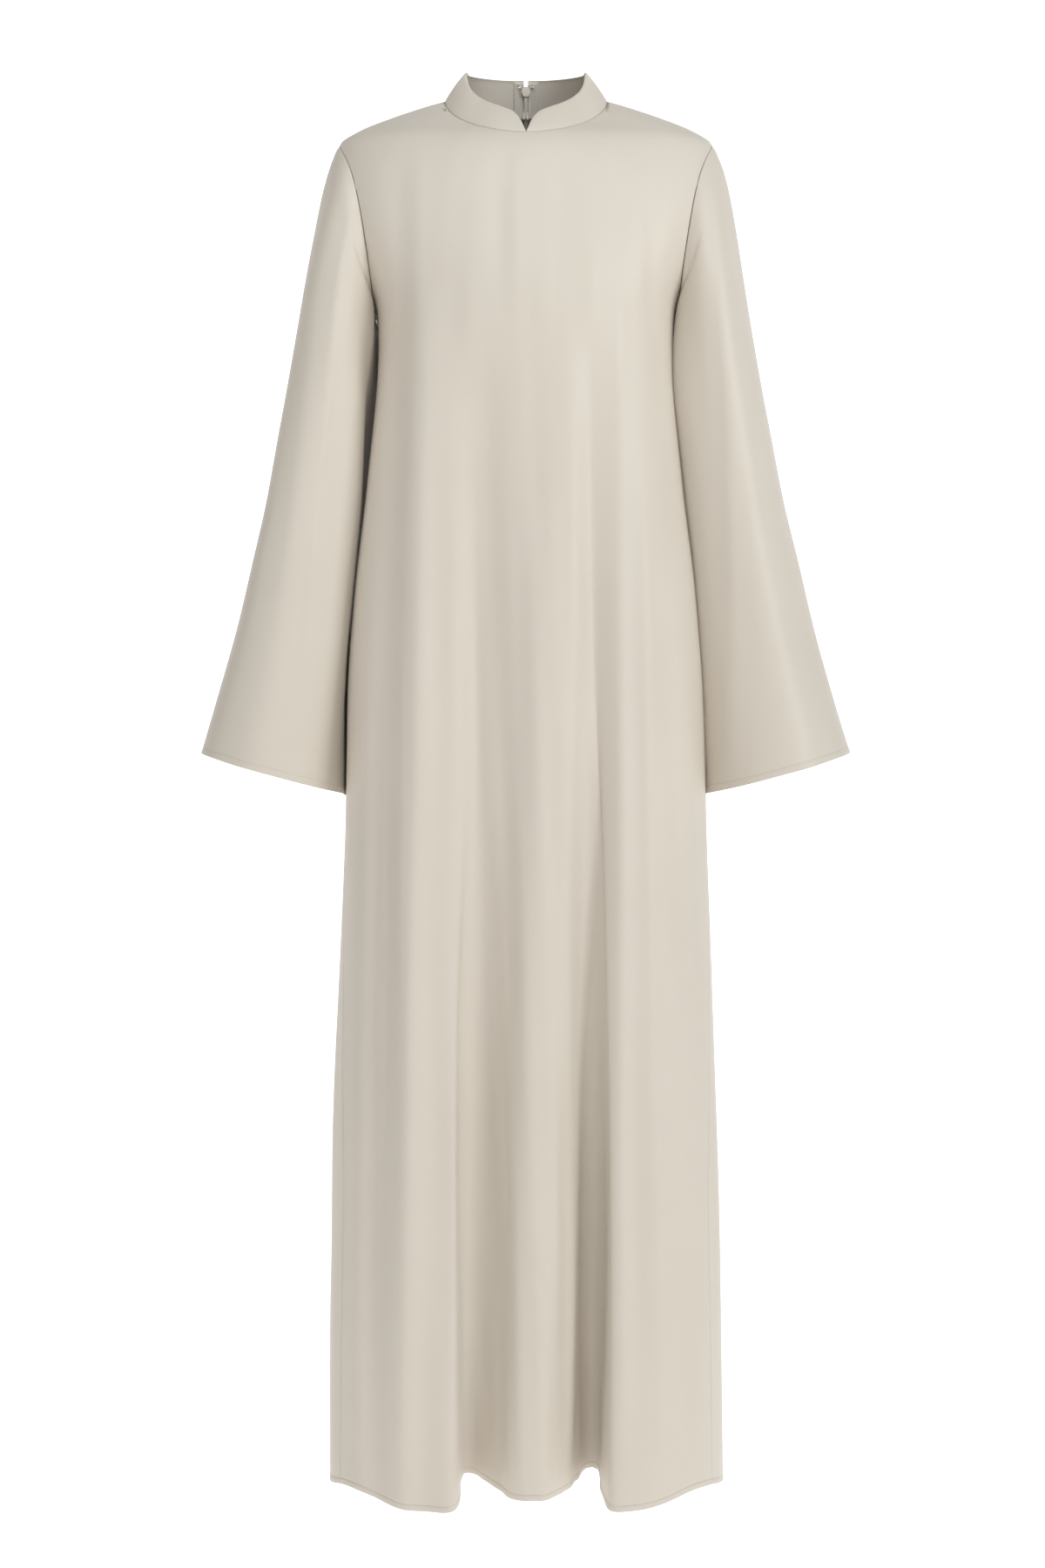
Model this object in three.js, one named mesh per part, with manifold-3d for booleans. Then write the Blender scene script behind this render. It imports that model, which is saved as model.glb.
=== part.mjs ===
import * as THREE from 'three';
import Module from 'manifold-3d';
import { mergeVertices } from 'three/addons/utils/BufferGeometryUtils.js';

// A long pull-on abaya of heavy crepe, filled out as if it were worn. Millimetres, +Z up, the front faces -Y
// and the wearer's left is +X. The origin is the middle of the neck base, level with its two sides.

const wasm = await Module();
wasm.setup();

const clothThick = 1.6;
const collarThick = 2.4;
const seamGap = 0.3;
const neckHalfWidth = 86.5;
const neckFrontDrop = 48;
const neckBackDrop = 2;
const shoulderTipZ = -48;
const underarmZ = -232;
const bustZ = -264;
const hemZ = -1476;

// The filled-out body. At each height: half its width, its reach forward and back from the middle, and how
// square its section is, where 2 is an ellipse.
const figure = [
  { z: 0, halfWidth: 86.5, forward: 1, back: 62, square: 2 },
  { z: -4, halfWidth: 100.5, forward: 8, back: 68, square: 2 },
  { z: -11, halfWidth: 121.5, forward: 18, back: 74, square: 2 },
  { z: -19, halfWidth: 144, forward: 28.5, back: 80, square: 2 },
  { z: -33.5, halfWidth: 179, forward: 45, back: 88, square: 2 },
  { z: -48, halfWidth: 199, forward: 62, back: 94, square: 2 },
  { z: -84, halfWidth: 203, forward: 79, back: 103, square: 2.1 },
  { z: -121, halfWidth: 199, forward: 89, back: 108, square: 2.2 },
  { z: -185, halfWidth: 175, forward: 102, back: 112, square: 2.35 },
  { z: -232, halfWidth: 158.5, forward: 107, back: 111, square: 2.4 },
  { z: -264, halfWidth: 157, forward: 109, back: 110, square: 2.45 },
  { z: -410, halfWidth: 169, forward: 112, back: 106, square: 2.5 },
  { z: -530, halfWidth: 183, forward: 112, back: 105, square: 2.5 },
  { z: -635, halfWidth: 190, forward: 112, back: 106, square: 2.5 },
  { z: -741, halfWidth: 191.5, forward: 112, back: 108, square: 2.5 },
  { z: -915, halfWidth: 197, forward: 112, back: 112, square: 2.5 },
  { z: -1138, halfWidth: 205, forward: 112, back: 116, square: 2.5 },
  { z: -1361, halfWidth: 208.5, forward: 113, back: 120, square: 2.5 },
  { z: -1476, halfWidth: 209, forward: 113, back: 122, square: 2.5 },
];

// Where the armhole edge lies, seen from the front.
const armhole = [
  { z: -48, x: 199 },
  { z: -84, x: 184 },
  { z: -121, x: 175 },
  { z: -185, x: 165 },
  { z: -219, x: 161 },
  { z: -232, x: 158.5 },
];

// How far round from the centre front the side seam hangs, in degrees.
const sideSeam = [
  { z: -264, turn: 90 },
  { z: -740, turn: 84 },
  { z: -1014, turn: 71 },
  { z: -1192, turn: 65 },
  { z: -1476, turn: 66 },
];

// The skirt's folds. place is the share of the way from the centre front to the centre back, below 0 on the
// wearer's right. The fold fades over rightWidth and leftWidth of that way, starts at height from, and at
// the hem is deep mm inward, slides under its neighbour by slide mm and lifts the hem by lift.
const folds = [
  { place: -0.098, rightWidth: 0.024, leftWidth: 0.052, from: -700, deep: 58, slide: -14, lift: 25 },
  { place: 0.01, rightWidth: 0.06, leftWidth: 0.05, from: -800, deep: 14, slide: 0, lift: 8 },
  { place: 0.116, rightWidth: 0.056, leftWidth: 0.024, from: -520, deep: 80, slide: 14, lift: 24 },
  { place: 0.36, rightWidth: 0.09, leftWidth: 0.09, from: -900, deep: 0, slide: 0, lift: 15 },
  { place: 0.5, rightWidth: 0.08, leftWidth: 0.08, from: -900, deep: 0, slide: 0, lift: 6.5 },
  { place: 0.62, rightWidth: 0.035, leftWidth: 0.05, from: -820, deep: 42, slide: -5, lift: 12 },
  { place: 0.79, rightWidth: 0.05, leftWidth: 0.035, from: -640, deep: 60, slide: 9, lift: 16 },
  { place: -0.36, rightWidth: 0.09, leftWidth: 0.09, from: -900, deep: 0, slide: 0, lift: 16 },
  { place: -0.5, rightWidth: 0.08, leftWidth: 0.08, from: -900, deep: 0, slide: 0, lift: 6.5 },
  { place: -0.65, rightWidth: 0.05, leftWidth: 0.035, from: -760, deep: 48, slide: 7, lift: 13 },
  { place: -0.86, rightWidth: 0.035, leftWidth: 0.05, from: -560, deep: 64, slide: -9, lift: 17 },
];

// The sleeve's rings, from the armhole to the cuff. Each runs from a point on the outer line to a height on
// the inner line, which follows the body's side, and bulges forward and back between them.
const sleeveRings = [
  { along: 0, outerX: 199, outerZ: -48, innerZ: -232, forward: 46, back: 56 },
  { along: 0.04, outerX: 206, outerZ: -62, innerZ: -238, forward: 52, back: 60 },
  { along: 0.12, outerX: 215.5, outerZ: -95, innerZ: -252, forward: 59, back: 64 },
  { along: 0.2, outerX: 225, outerZ: -146, innerZ: -276, forward: 64, back: 67 },
  { along: 0.3, outerX: 236, outerZ: -214, innerZ: -322, forward: 67, back: 69 },
  { along: 0.4, outerX: 249.3, outerZ: -290, innerZ: -372, forward: 68, back: 69 },
  { along: 0.5, outerX: 262.5, outerZ: -360, innerZ: -424, forward: 69, back: 68 },
  { along: 0.6, outerX: 275.5, outerZ: -430, innerZ: -480, forward: 70, back: 67 },
  { along: 0.7, outerX: 290, outerZ: -492, innerZ: -540, forward: 71, back: 66 },
  { along: 0.8, outerX: 307, outerZ: -565, innerZ: -604, forward: 72, back: 66 },
  { along: 0.9, outerX: 326, outerZ: -632, innerZ: -672, forward: 73, back: 66 },
  { along: 1, outerX: 345.5, outerZ: -695, innerZ: -742, forward: 74, back: 66 },
];

// The sleeve stands sleeveClear mm off the body from clearBy of its length on, and armholeGap mm off the
// armhole at its seam.
const sleeveClear = 3;
const clearBy = 0.02;
const armholeGap = 0.4;

// How far the sleeve's inner line lies behind the body's side, how sharply the sleeve turns back to it, and
// the shares of its length between which that sets in.
const sleeveTuck = 58;
const tuckPower = 4;
const tuckFrom = 0.01;
const tuckFull = 0.14;

const cuffDip = 3;
const armholeFade = 0.3;

// The sleeve's lengthwise ridges. turn is the way round from the outer line, over the front, in degrees.
const sleeveRidges = [
  { turn: 72, width: 16, out: 5, from: 0.08, to: 1 },
  { turn: 128, width: 18, out: 9, from: 0.12, to: 0.85 },
  { turn: 262, width: 20, out: 6, from: 0.1, to: 1 },
];

// The height of the collar band, by the distance from the centre front along its base: a petal that rises
// from a point to the full height of the stand.
const collarHeight = [
  { from: 0, height: 1.5 },
  { from: 1, height: 3.5 },
  { from: 5, height: 15 },
  { from: 11.5, height: 26 },
  { from: 20, height: 32 },
  { from: 45, height: 36 },
  { from: 110, height: 38 },
  { from: 200, height: 39.5 },
  { from: 260, height: 40 },
];

// How far the band leans inward, in degrees, round from the centre front to the centre back.
const collarLean = [
  { turn: 0, lean: 33 },
  { turn: 45, lean: 34 },
  { turn: 90, lean: 36 },
  { turn: 135, lean: 24 },
  { turn: 180, lean: 12 },
];
const collarRows = [0, 0.3, 0.6, 0.85, 1];
const collarEndGap = 4.4;
const collarEndSlope = 2.1;
const petalStops = [0.4, 2.5, 5, 8.5, 13];

const zipBottomZ = -500;
const tapeInnerEdge = 2.4;
const tapeOuterEdge = 13;
const tapeThick = 0.8;
const chainHalfWidth = 1.7;
const chainThick = 1.8;
const sliderHeight = 28.6;

const neckColumns = 8;
const shoulderColumns = 5;
const armholeColumns = 7;
const yokeRows = 8;
const skirtRows = 20;
const lineSteps = 180;

// A smooth curve through one column of a table, which stays between its rows.
function curveOf(table, by, column) {
  const rows = [...table].sort((one, other) => one[by] - other[by]);
  const last = rows.length - 1;
  const at = rows.map((row) => row[by]);
  const value = rows.map((row) => row[column]);
  const rise = at.slice(1).map((next, i) => (value[i + 1] - value[i]) / (next - at[i]));
  const slope = value.map((_, i) => {
    if (i === 0) return rise[0];
    if (i === last) return rise[last - 1];
    if (rise[i - 1] * rise[i] <= 0) return 0;
    const before = at[i] - at[i - 1];
    const after = at[i + 1] - at[i];
    const nearer = 2 * after + before;
    const farther = after + 2 * before;
    return (nearer + farther) / (nearer / rise[i - 1] + farther / rise[i]);
  });
  return (where) => {
    const x = THREE.MathUtils.clamp(where, at[0], at[last]);
    let i = 0;
    while (i < last - 1 && x > at[i + 1]) i += 1;
    const width = at[i + 1] - at[i];
    const t = (x - at[i]) / width;
    const rest = 1 - t;
    return value[i] * rest * rest * (1 + 2 * t) + value[i + 1] * t * t * (3 - 2 * t)
      + width * t * rest * (slope[i] * rest - slope[i + 1] * t);
  };
}

const halfWidthAt = curveOf(figure, 'z', 'halfWidth');
const forwardAt = curveOf(figure, 'z', 'forward');
const backAt = curveOf(figure, 'z', 'back');
const squareAt = curveOf(figure, 'z', 'square');
const armholeAt = curveOf(armhole, 'z', 'x');
const seamTurnAt = curveOf(sideSeam, 'z', 'turn');

// The points at given distances along a line of points.
function pointsAlong(line, distances) {
  const travelled = [0];
  for (let i = 1; i < line.length; i += 1) travelled.push(travelled[i - 1] + line[i].distanceTo(line[i - 1]));
  return distances.map((distance) => {
    let i = 0;
    while (i < line.length - 2 && travelled[i + 1] < distance) i += 1;
    const share = (distance - travelled[i]) / (travelled[i + 1] - travelled[i]);
    return new THREE.Vector3().lerpVectors(line[i], line[i + 1], share);
  });
}

function lengthOf(line) {
  return line.slice(1).reduce((sum, point, i) => sum + point.distanceTo(line[i]), 0);
}

// Points that divide a line evenly, with a little left off either end.
function evenPoints(line, count, startGap = 0, endGap = 0) {
  const length = lengthOf(line) - startGap - endGap;
  const stops = Array.from({ length: count + 1 }, (_, i) => startGap + (length * i) / count);
  return pointsAlong(line, stops);
}

// The figure's surface, side -1 in front and +1 behind.
function onFigure(x, z, side) {
  const reach = side < 0 ? forwardAt(z) : backAt(z);
  const square = squareAt(z);
  const share = Math.min(Math.abs(x) / halfWidthAt(z), 1);
  return new THREE.Vector3(x, side * reach * (1 - share ** square) ** (1 / square), z);
}

function outOfFigure(point, side) {
  const level = (x, y, z) => {
    const square = squareAt(z);
    const reach = side < 0 ? forwardAt(z) : backAt(z);
    return Math.abs(x / halfWidthAt(z)) ** square + Math.abs(y / reach) ** square;
  };
  const { x, y, z } = point;
  const step = 0.05;
  return new THREE.Vector3(
    level(x + step, y, z) - level(x - step, y, z),
    level(x, y + step, z) - level(x, y - step, z),
    level(x, y, z + step) - level(x, y, z - step),
  ).normalize();
}

// The top edge of half a panel, on the wearer's left: neckline, shoulder seam and armhole.
function topEdge(side) {
  const steps = Array.from({ length: lineSteps + 1 }, (_, i) => i / lineSteps);
  const drop = side < 0 ? neckFrontDrop : neckBackDrop;
  const neck = steps.map((share) => {
    const turn = (Math.PI / 2) * (1 - share);
    return onFigure(neckHalfWidth * Math.cos(turn), -drop * Math.sin(turn) ** 1.05, side);
  });
  const shoulder = steps.map((share) =>
    onFigure(halfWidthAt(shoulderTipZ * share), shoulderTipZ * share, side));
  const arm = steps.map((share) => {
    const z = THREE.MathUtils.lerp(shoulderTipZ, underarmZ, share);
    return onFigure(armholeAt(z), z, side);
  });
  return [
    ...evenPoints(neck, neckColumns),
    ...evenPoints(shoulder, shoulderColumns).slice(1),
    ...evenPoints(arm, armholeColumns).slice(1),
  ];
}

const tops = { '-1': topEdge(-1), 1: topEdge(1) };
const shoulderStart = neckColumns;
const armholeStart = neckColumns + shoulderColumns;
const halfColumns = armholeStart + armholeColumns;

// How much a fold, as a share of its full depth, shows at a place round the skirt.
function foldAt(fold, place) {
  const width = place < fold.place ? fold.rightWidth : fold.leftWidth;
  return Math.exp(-(((place - fold.place) / width) ** 2));
}

function foldGrowth(fold, z) {
  return THREE.MathUtils.clamp((fold.from - z) / (fold.from - hemZ), 0, 1) ** 1.5;
}

// Half of the skirt's section, from the centre front to the centre back on hand +1, the wearer's left, or
// -1, at a share of the way down from the bust to the hem. Each entry has its turn, point and outward way.
function skirtSection(hand, down) {
  const level = THREE.MathUtils.lerp(bustZ, hemZ, down);
  const steps = 2 * lineSteps;
  const flat = Array.from({ length: steps + 1 }, (_, i) => {
    const turn = (Math.PI * i) / steps;
    const power = 2 / squareAt(level);
    const reach = turn < Math.PI / 2 ? -forwardAt(level) : backAt(level);
    return new THREE.Vector3(
      hand * halfWidthAt(level) * Math.sin(turn) ** power,
      reach * Math.abs(Math.cos(turn)) ** power,
      level,
    );
  });
  const length = lengthOf(flat);
  let travelled = 0;
  return flat.map((point, i) => {
    if (i > 0) travelled += point.distanceTo(flat[i - 1]);
    const place = (hand * travelled) / length;
    const way = flat[Math.min(i + 1, steps)].clone().sub(flat[Math.max(i - 1, 0)]);
    const out = new THREE.Vector3(-way.y, way.x, 0).multiplyScalar(-hand).normalize();
    const grown = folds.map((fold) => foldAt(fold, place) * foldGrowth(fold, level));
    const inward = folds.reduce((sum, fold, f) => sum + fold.deep * grown[f], 0);
    const aside = folds.reduce((sum, fold, f) => sum + fold.slide * grown[f], 0);
    const lift = folds.reduce((sum, fold) => sum + fold.lift * foldAt(fold, place), 0);
    const leftward = new THREE.Vector3(-out.y, out.x, 0);
    const moved = point.clone().addScaledVector(out, -inward).addScaledVector(leftward, aside);
    moved.z += lift * down;
    return { turn: THREE.MathUtils.radToDeg((Math.PI * i) / steps), point: moved, out };
  });
}

// One row of half a panel, from its centre line to the side seam, and the outward way at the seam.
function skirtRow(side, hand, down) {
  const seam = seamTurnAt(THREE.MathUtils.lerp(bustZ, hemZ, down));
  const section = skirtSection(hand, down);
  const seamAt = section.findIndex(({ turn }) => turn >= seam);
  const part = side < 0 ? section.slice(0, seamAt + 1) : section.slice(seamAt).reverse();
  const centreGap = side < 0 ? 0 : seamGap / 2;
  const points = evenPoints(part.map(({ point }) => point), halfColumns, centreGap, seamGap / 2);
  return { points, seamWay: section[seamAt].out };
}

// The part of a column above the bust, from its place on the top edge down to the first skirt row.
function yokeColumn(side, hand, column, foot) {
  const top = tops[side][column].clone();
  if (side > 0 && column === 0) top.x = seamGap / 2;
  const footX = Math.abs(foot.x);
  const line = Array.from({ length: lineSteps + 1 }, (_, i) => {
    const down = (i / lineSteps) ** 2;
    const x = footX + (top.x - footX) * (1 - down) ** 1.6;
    return onFigure(x, THREE.MathUtils.lerp(top.z, foot.z, down), side);
  });
  const startGap = column < armholeStart ? seamGap / 2 : 0;
  const points = evenPoints(line, yokeRows, startGap).slice(0, yokeRows);
  return points.map((point) => {
    const away = column === halfColumns ? seamGap / 2 : 0;
    return new THREE.Vector3(hand * point.x, side * Math.max(Math.abs(point.y), away), point.z);
  });
}

// Unit ways across a grid of points, found from the neighbours of each. flip turns them over.
function waysAcross(grid, wraps, flip) {
  const rows = grid.length;
  const columns = grid[0].length;
  return grid.map((row, r) => row.map((_, c) => {
    const before = wraps ? (c + columns - 1) % columns : Math.max(c - 1, 0);
    const after = wraps ? (c + 1) % columns : Math.min(c + 1, columns - 1);
    const across = row[after].clone().sub(row[before]);
    const down = grid[Math.min(r + 1, rows - 1)][c].clone().sub(grid[Math.max(r - 1, 0)][c]);
    return across.cross(down).normalize().multiplyScalar(flip);
  }));
}

// Half a panel as a grid of points and of outward ways, column 0 on its centre line.
function halfPanel(side, hand) {
  const skirt = Array.from({ length: skirtRows + 1 }, (_, r) => skirtRow(side, hand, r / skirtRows));
  const columns = skirt[0].points.map((foot, c) => yokeColumn(side, hand, c, foot));
  const yoke = Array.from({ length: yokeRows }, (_, r) => columns.map((column) => column[r]));
  const points = [...yoke, ...skirt.map((row) => row.points)];
  const ways = waysAcross(points, false, side * hand);
  for (let r = 0; r < yokeRows; r += 1) {
    ways[r] = points[r].map((point, c) => {
      const onShoulder = r === 0 && c >= shoulderStart && c <= armholeStart;
      const onSeam = onShoulder || c === halfColumns;
      return outOfFigure(onSeam ? point.clone().setY(0) : point, side);
    });
  }
  skirt.forEach(({ seamWay }, r) => {
    ways[yokeRows + r][halfColumns] = seamWay;
  });
  return { points, ways };
}

// A closed wall: the given outer points, and the same points moved inward.
function wall(points, ways, thick, wraps = false) {
  const rows = points.length;
  const columns = points[0].length;
  const inner = points.map((row, r) =>
    row.map((point, c) => point.clone().addScaledVector(ways[r][c], -thick)));
  const positions = [...points.flat(), ...inner.flat()].flatMap((point) => point.toArray());
  const outside = (r, c) => r * columns + (c % columns);
  const inside = (r, c) => rows * columns + outside(r, c);
  const faces = [];
  const quad = (a, b, c, d) => faces.push(a, b, c, a, c, d);
  const spans = wraps ? columns : columns - 1;
  for (let r = 0; r < rows - 1; r += 1) {
    for (let c = 0; c < spans; c += 1) {
      quad(outside(r, c), outside(r + 1, c), outside(r + 1, c + 1), outside(r, c + 1));
      faces.push(inside(r, c), inside(r + 1, c + 1), inside(r + 1, c));
      faces.push(inside(r, c), inside(r, c + 1), inside(r + 1, c + 1));
    }
  }
  for (let c = 0; c < spans; c += 1) {
    quad(outside(0, c), outside(0, c + 1), inside(0, c + 1), inside(0, c));
    quad(outside(rows - 1, c), inside(rows - 1, c), inside(rows - 1, c + 1), outside(rows - 1, c + 1));
  }
  if (!wraps) {
    const end = columns - 1;
    for (let r = 0; r < rows - 1; r += 1) {
      quad(outside(r, 0), inside(r, 0), inside(r + 1, 0), outside(r + 1, 0));
      quad(outside(r, end), outside(r + 1, end), inside(r + 1, end), inside(r, end));
    }
  }
  return facingOut(positions, faces);
}

// The closed mesh of these faces, turned so that they face out.
function facingOut(positions, faces) {
  const corner = (index) => new THREE.Vector3().fromArray(positions, 3 * index);
  let volume = 0;
  for (let i = 0; i < faces.length; i += 3) {
    volume += corner(faces[i]).dot(corner(faces[i + 1]).cross(corner(faces[i + 2])));
  }
  if (volume < 0) {
    for (let i = 0; i < faces.length; i += 3) [faces[i], faces[i + 1]] = [faces[i + 1], faces[i]];
  }
  const geometry = new THREE.BufferGeometry();
  geometry.setAttribute('position', new THREE.Float32BufferAttribute(positions, 3));
  geometry.setIndex(faces);
  return geometry;
}

const crepe = { color: 0xd4c9bb, roughness: 0.72, metalness: 0 };
const zipCloth = { color: 0xc9bdac, roughness: 0.8, metalness: 0 };
const zipNylon = { color: 0xc2b6a5, roughness: 0.5, metalness: 0 };
const zipMetal = { color: 0xc8bfb2, roughness: 0.35, metalness: 0.6 };

const abaya = new THREE.Group();
function addPiece(name, geometry, finish) {
  const piece = new THREE.Mesh(geometry, new THREE.MeshStandardMaterial(finish));
  piece.name = name;
  abaya.add(piece);
  return piece;
}

// The front, cut in one across the centre, and the two back halves.
const frontLeft = halfPanel(-1, 1);
const frontRight = halfPanel(-1, -1);
const joinHalves = (right, left) => right.map((row, r) => [...row.slice(1).reverse(), ...left[r]]);
addPiece('front', wall(
  joinHalves(frontRight.points, frontLeft.points),
  joinHalves(frontRight.ways, frontLeft.ways),
  clothThick,
), crepe);
const backs = { left: halfPanel(1, 1), right: halfPanel(1, -1) };
for (const [name, { points, ways }] of Object.entries(backs)) {
  addPiece(`back_${name}`, wall(points, ways, clothThick), crepe);
}

// The armhole as a loop of points, from the shoulder tip over the front to the underarm and up the back,
// with one point more between each two of the panels' own, and the way out of the panel at each.
function armholeLoop() {
  const edge = (side) => tops[side].slice(armholeStart);
  const corners = [...edge(-1), ...edge(1).slice(1, -1).reverse()];
  const sides = corners.map((_, i) => (i <= armholeColumns ? -1 : 1));
  const beyond = corners.map((point, i) => {
    const next = corners[(i + 1) % corners.length];
    const last = corners[(i + corners.length - 1) % corners.length];
    return outOfFigure(point, sides[i]).cross(next.clone().sub(last)).normalize();
  });
  return corners.flatMap((point, i) => {
    const next = (i + 1) % corners.length;
    return [
      { point, beyond: beyond[i] },
      {
        point: point.clone().lerp(corners[next], 0.5),
        beyond: beyond[i].clone().lerp(beyond[next], 0.5).normalize(),
      },
    ];
  });
}

const ringCurves = Object.fromEntries(
  ['outerX', 'outerZ', 'innerZ', 'forward', 'back'].map((name) => [name, curveOf(sleeveRings, 'along', name)]),
);
const sleeveStops = [0, 0.025, 0.06, 0.12, 0.2, 0.3, 0.4, 0.5, 0.6, 0.7, 0.8, 0.9, 1];

// A point of the sleeve without the armhole's own shape.
function sleevePoint(along, turn) {
  const outer = new THREE.Vector3(ringCurves.outerX(along), 0, ringCurves.outerZ(along));
  const innerZ = ringCurves.innerZ(along);
  const clear = sleeveClear * Math.min(along / clearBy, 1);
  const tuck = sleeveTuck * THREE.MathUtils.smoothstep(along, tuckFrom, tuckFull);
  const behind = (1 - (tuck / backAt(innerZ)) ** squareAt(innerZ)) ** (1 / squareAt(innerZ));
  const inner = new THREE.Vector3(halfWidthAt(innerZ) * behind + clear, 0, innerZ);
  const half = outer.clone().sub(inner).multiplyScalar(0.5);
  const point = inner.clone().add(half).addScaledVector(half, Math.cos(turn));
  const sweep = Math.sin(turn);
  point.y = -sweep * (sweep > 0 ? ringCurves.forward(along) : ringCurves.back(along));
  point.y += tuck * ((1 - Math.cos(turn)) / 2) ** tuckPower;
  point.z -= cuffDip * Math.abs(sweep) * along ** 4;
  const degrees = THREE.MathUtils.radToDeg(turn);
  for (const ridge of sleeveRidges) {
    const across = Math.exp(-(((degrees - ridge.turn) / ridge.width) ** 2));
    const rise = THREE.MathUtils.smoothstep(along, ridge.from, ridge.from + 0.25);
    const fall = 1 - THREE.MathUtils.smoothstep(along, ridge.to - 0.1, ridge.to + 0.2);
    const way = new THREE.Vector3(Math.cos(turn), -sweep, 0);
    point.addScaledVector(way, ridge.out * across * rise * fall);
  }
  return point;
}

// The same point moved out from the figure until it stands clear of it.
function clearOfFigure(point, clear) {
  const side = point.y < 0 ? -1 : 1;
  const square = squareAt(point.z);
  const reach = side < 0 ? forwardAt(point.z) : backAt(point.z);
  const level = Math.abs(point.x / halfWidthAt(point.z)) ** square + Math.abs(point.y / reach) ** square;
  const share = level ** (1 / square);
  const least = 1 + clear / Math.hypot(point.x, point.y);
  const grow = Math.max(least / share, 1);
  return new THREE.Vector3(point.x * grow, point.y * grow, point.z);
}

function sleeve(hand) {
  const loop = armholeLoop();
  const rings = sleeveStops.map((along) => loop.map(({ point, beyond }, i) => {
    const turn = (2 * Math.PI * i) / loop.length;
    const fade = Math.max(1 - along / armholeFade, 0) ** 2;
    const own = point.clone().sub(sleevePoint(0, turn)).multiplyScalar(fade);
    const gap = beyond.clone().multiplyScalar(armholeGap * fade);
    const placed = sleevePoint(along, turn).add(own).add(gap);
    return along === 0 ? placed : clearOfFigure(placed, sleeveClear * Math.min(along / clearBy, 1));
  }));
  const ways = waysAcross(rings, true, 1);
  // At the armhole the wall's end stands square to the panel's edge.
  ways[0] = ways[0].map((way, i) => {
    const lean = Math.max(way.dot(loop[i].beyond), 0);
    return way.clone().addScaledVector(loop[i].beyond, -lean).normalize();
  });
  const mirror = (grid) => grid.map((row) => row.map(({ x, y, z }) => new THREE.Vector3(hand * x, y, z)));
  return wall(mirror(rings), mirror(ways), clothThick, true);
}
addPiece('sleeve_left', sleeve(1), crepe);
addPiece('sleeve_right', sleeve(-1), crepe);

// Half of the collar. Its base follows the neckline's own corners, with more stops at the petal.
const collarHeightAt = curveOf(collarHeight, 'from', 'height');
const collarLeanAt = curveOf(collarLean, 'turn', 'lean');

function collarRise(base) {
  const reach = base.y < 0 ? neckHalfFront : neckHalfBack;
  const turn = THREE.MathUtils.radToDeg(Math.atan2(Math.abs(base.x) / neckHalfWidth, -base.y / reach));
  const lean = THREE.MathUtils.degToRad(collarLeanAt(turn));
  const inward = new THREE.Vector3(-base.x / neckHalfWidth ** 2, -base.y / reach ** 2, 0).normalize();
  return inward.multiplyScalar(Math.sin(lean)).setZ(Math.cos(lean));
}
const neckHalfFront = -tops[-1][0].y;
const neckHalfBack = tops[1][0].y;

function collar(hand) {
  const neckline = [...tops[-1].slice(0, neckColumns + 1), ...tops[1].slice(0, neckColumns).reverse()];
  const corners = [];
  let travelled = 0;
  neckline.forEach((point, i) => {
    if (i > 0) travelled += point.distanceTo(neckline[i - 1]);
    corners.push(travelled);
  });
  const stops = [...petalStops, ...corners.slice(1, -1), travelled - collarEndGap / 2];
  const bases = pointsAlong(neckline, stops);
  const points = collarRows.map((share) => bases.map((base, i) => {
    const height = collarHeightAt(stops[i]) * share;
    const point = base.clone().addScaledVector(collarRise(base), height + seamGap / 2);
    const isEnd = i === bases.length - 1;
    if (isEnd && share === 1) point.x += collarEndSlope;
    return point.setX(hand * point.x);
  }));
  return { points, ways: waysAcross(points, false, hand) };
}
const collars = { left: collar(1), right: collar(-1) };
for (const [name, { points, ways }] of Object.entries(collars)) {
  addPiece(`collar_${name}`, wall(points, ways, collarThick), crepe);
}

// The zip's tapes lie on the inside of the collar ends and of the back halves. Each row is taken from the
// panel's own two columns beside the centre back.
function insideCentreBack(hand, x, sink) {
  const name = hand > 0 ? 'left' : 'right';
  const { points: band, ways: bandWays } = collars[name];
  const { points: panel, ways: panelWays } = backs[name];
  const end = band[0].length - 1;
  const between = (one, other, oneWay, otherWay, thick) => {
    const share = (x - Math.abs(one.x)) / (Math.abs(other.x) - Math.abs(one.x));
    const way = oneWay.clone().lerp(otherWay, Math.max(share, 0)).normalize();
    const point = one.clone().lerp(other, Math.max(share, 0)).setX(hand * x);
    return { point: point.addScaledVector(way, -thick - sink).setX(hand * x), way };
  };
  const collarPart = [3, 2, 1, 0].map((r) => between(
    band[r][end], band[r][end - 1], bandWays[r][end], bandWays[r][end - 1], collarThick,
  ));
  const backRows = panel.map((row, r) => r).filter((r) => panel[r][0].z >= zipBottomZ);
  const backPart = backRows.map((r) => between(
    panel[r][0], panel[r][1], panelWays[r][0], panelWays[r][1], clothThick,
  ));
  return [...collarPart, ...backPart];
}

function strip(edges, thick) {
  const points = edges[0].map((_, r) => edges.map((edge) => edge[r].point));
  const ways = edges[0].map((_, r) => edges.map((edge) => edge[r].way));
  return wall(points, ways, thick);
}
const chainTop = 1;
for (const [name, hand] of [['left', 1], ['right', -1]]) {
  const tape = [tapeInnerEdge, tapeOuterEdge].map((x) => insideCentreBack(hand, x, seamGap));
  addPiece(`zip_tape_${name}`, strip(tape, tapeThick), zipCloth);
}
const chain = [-1, 1].map((hand) => insideCentreBack(hand, chainHalfWidth, seamGap).slice(chainTop));
addPiece('zip_chain', strip(chain, chainThick), zipNylon);

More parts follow.
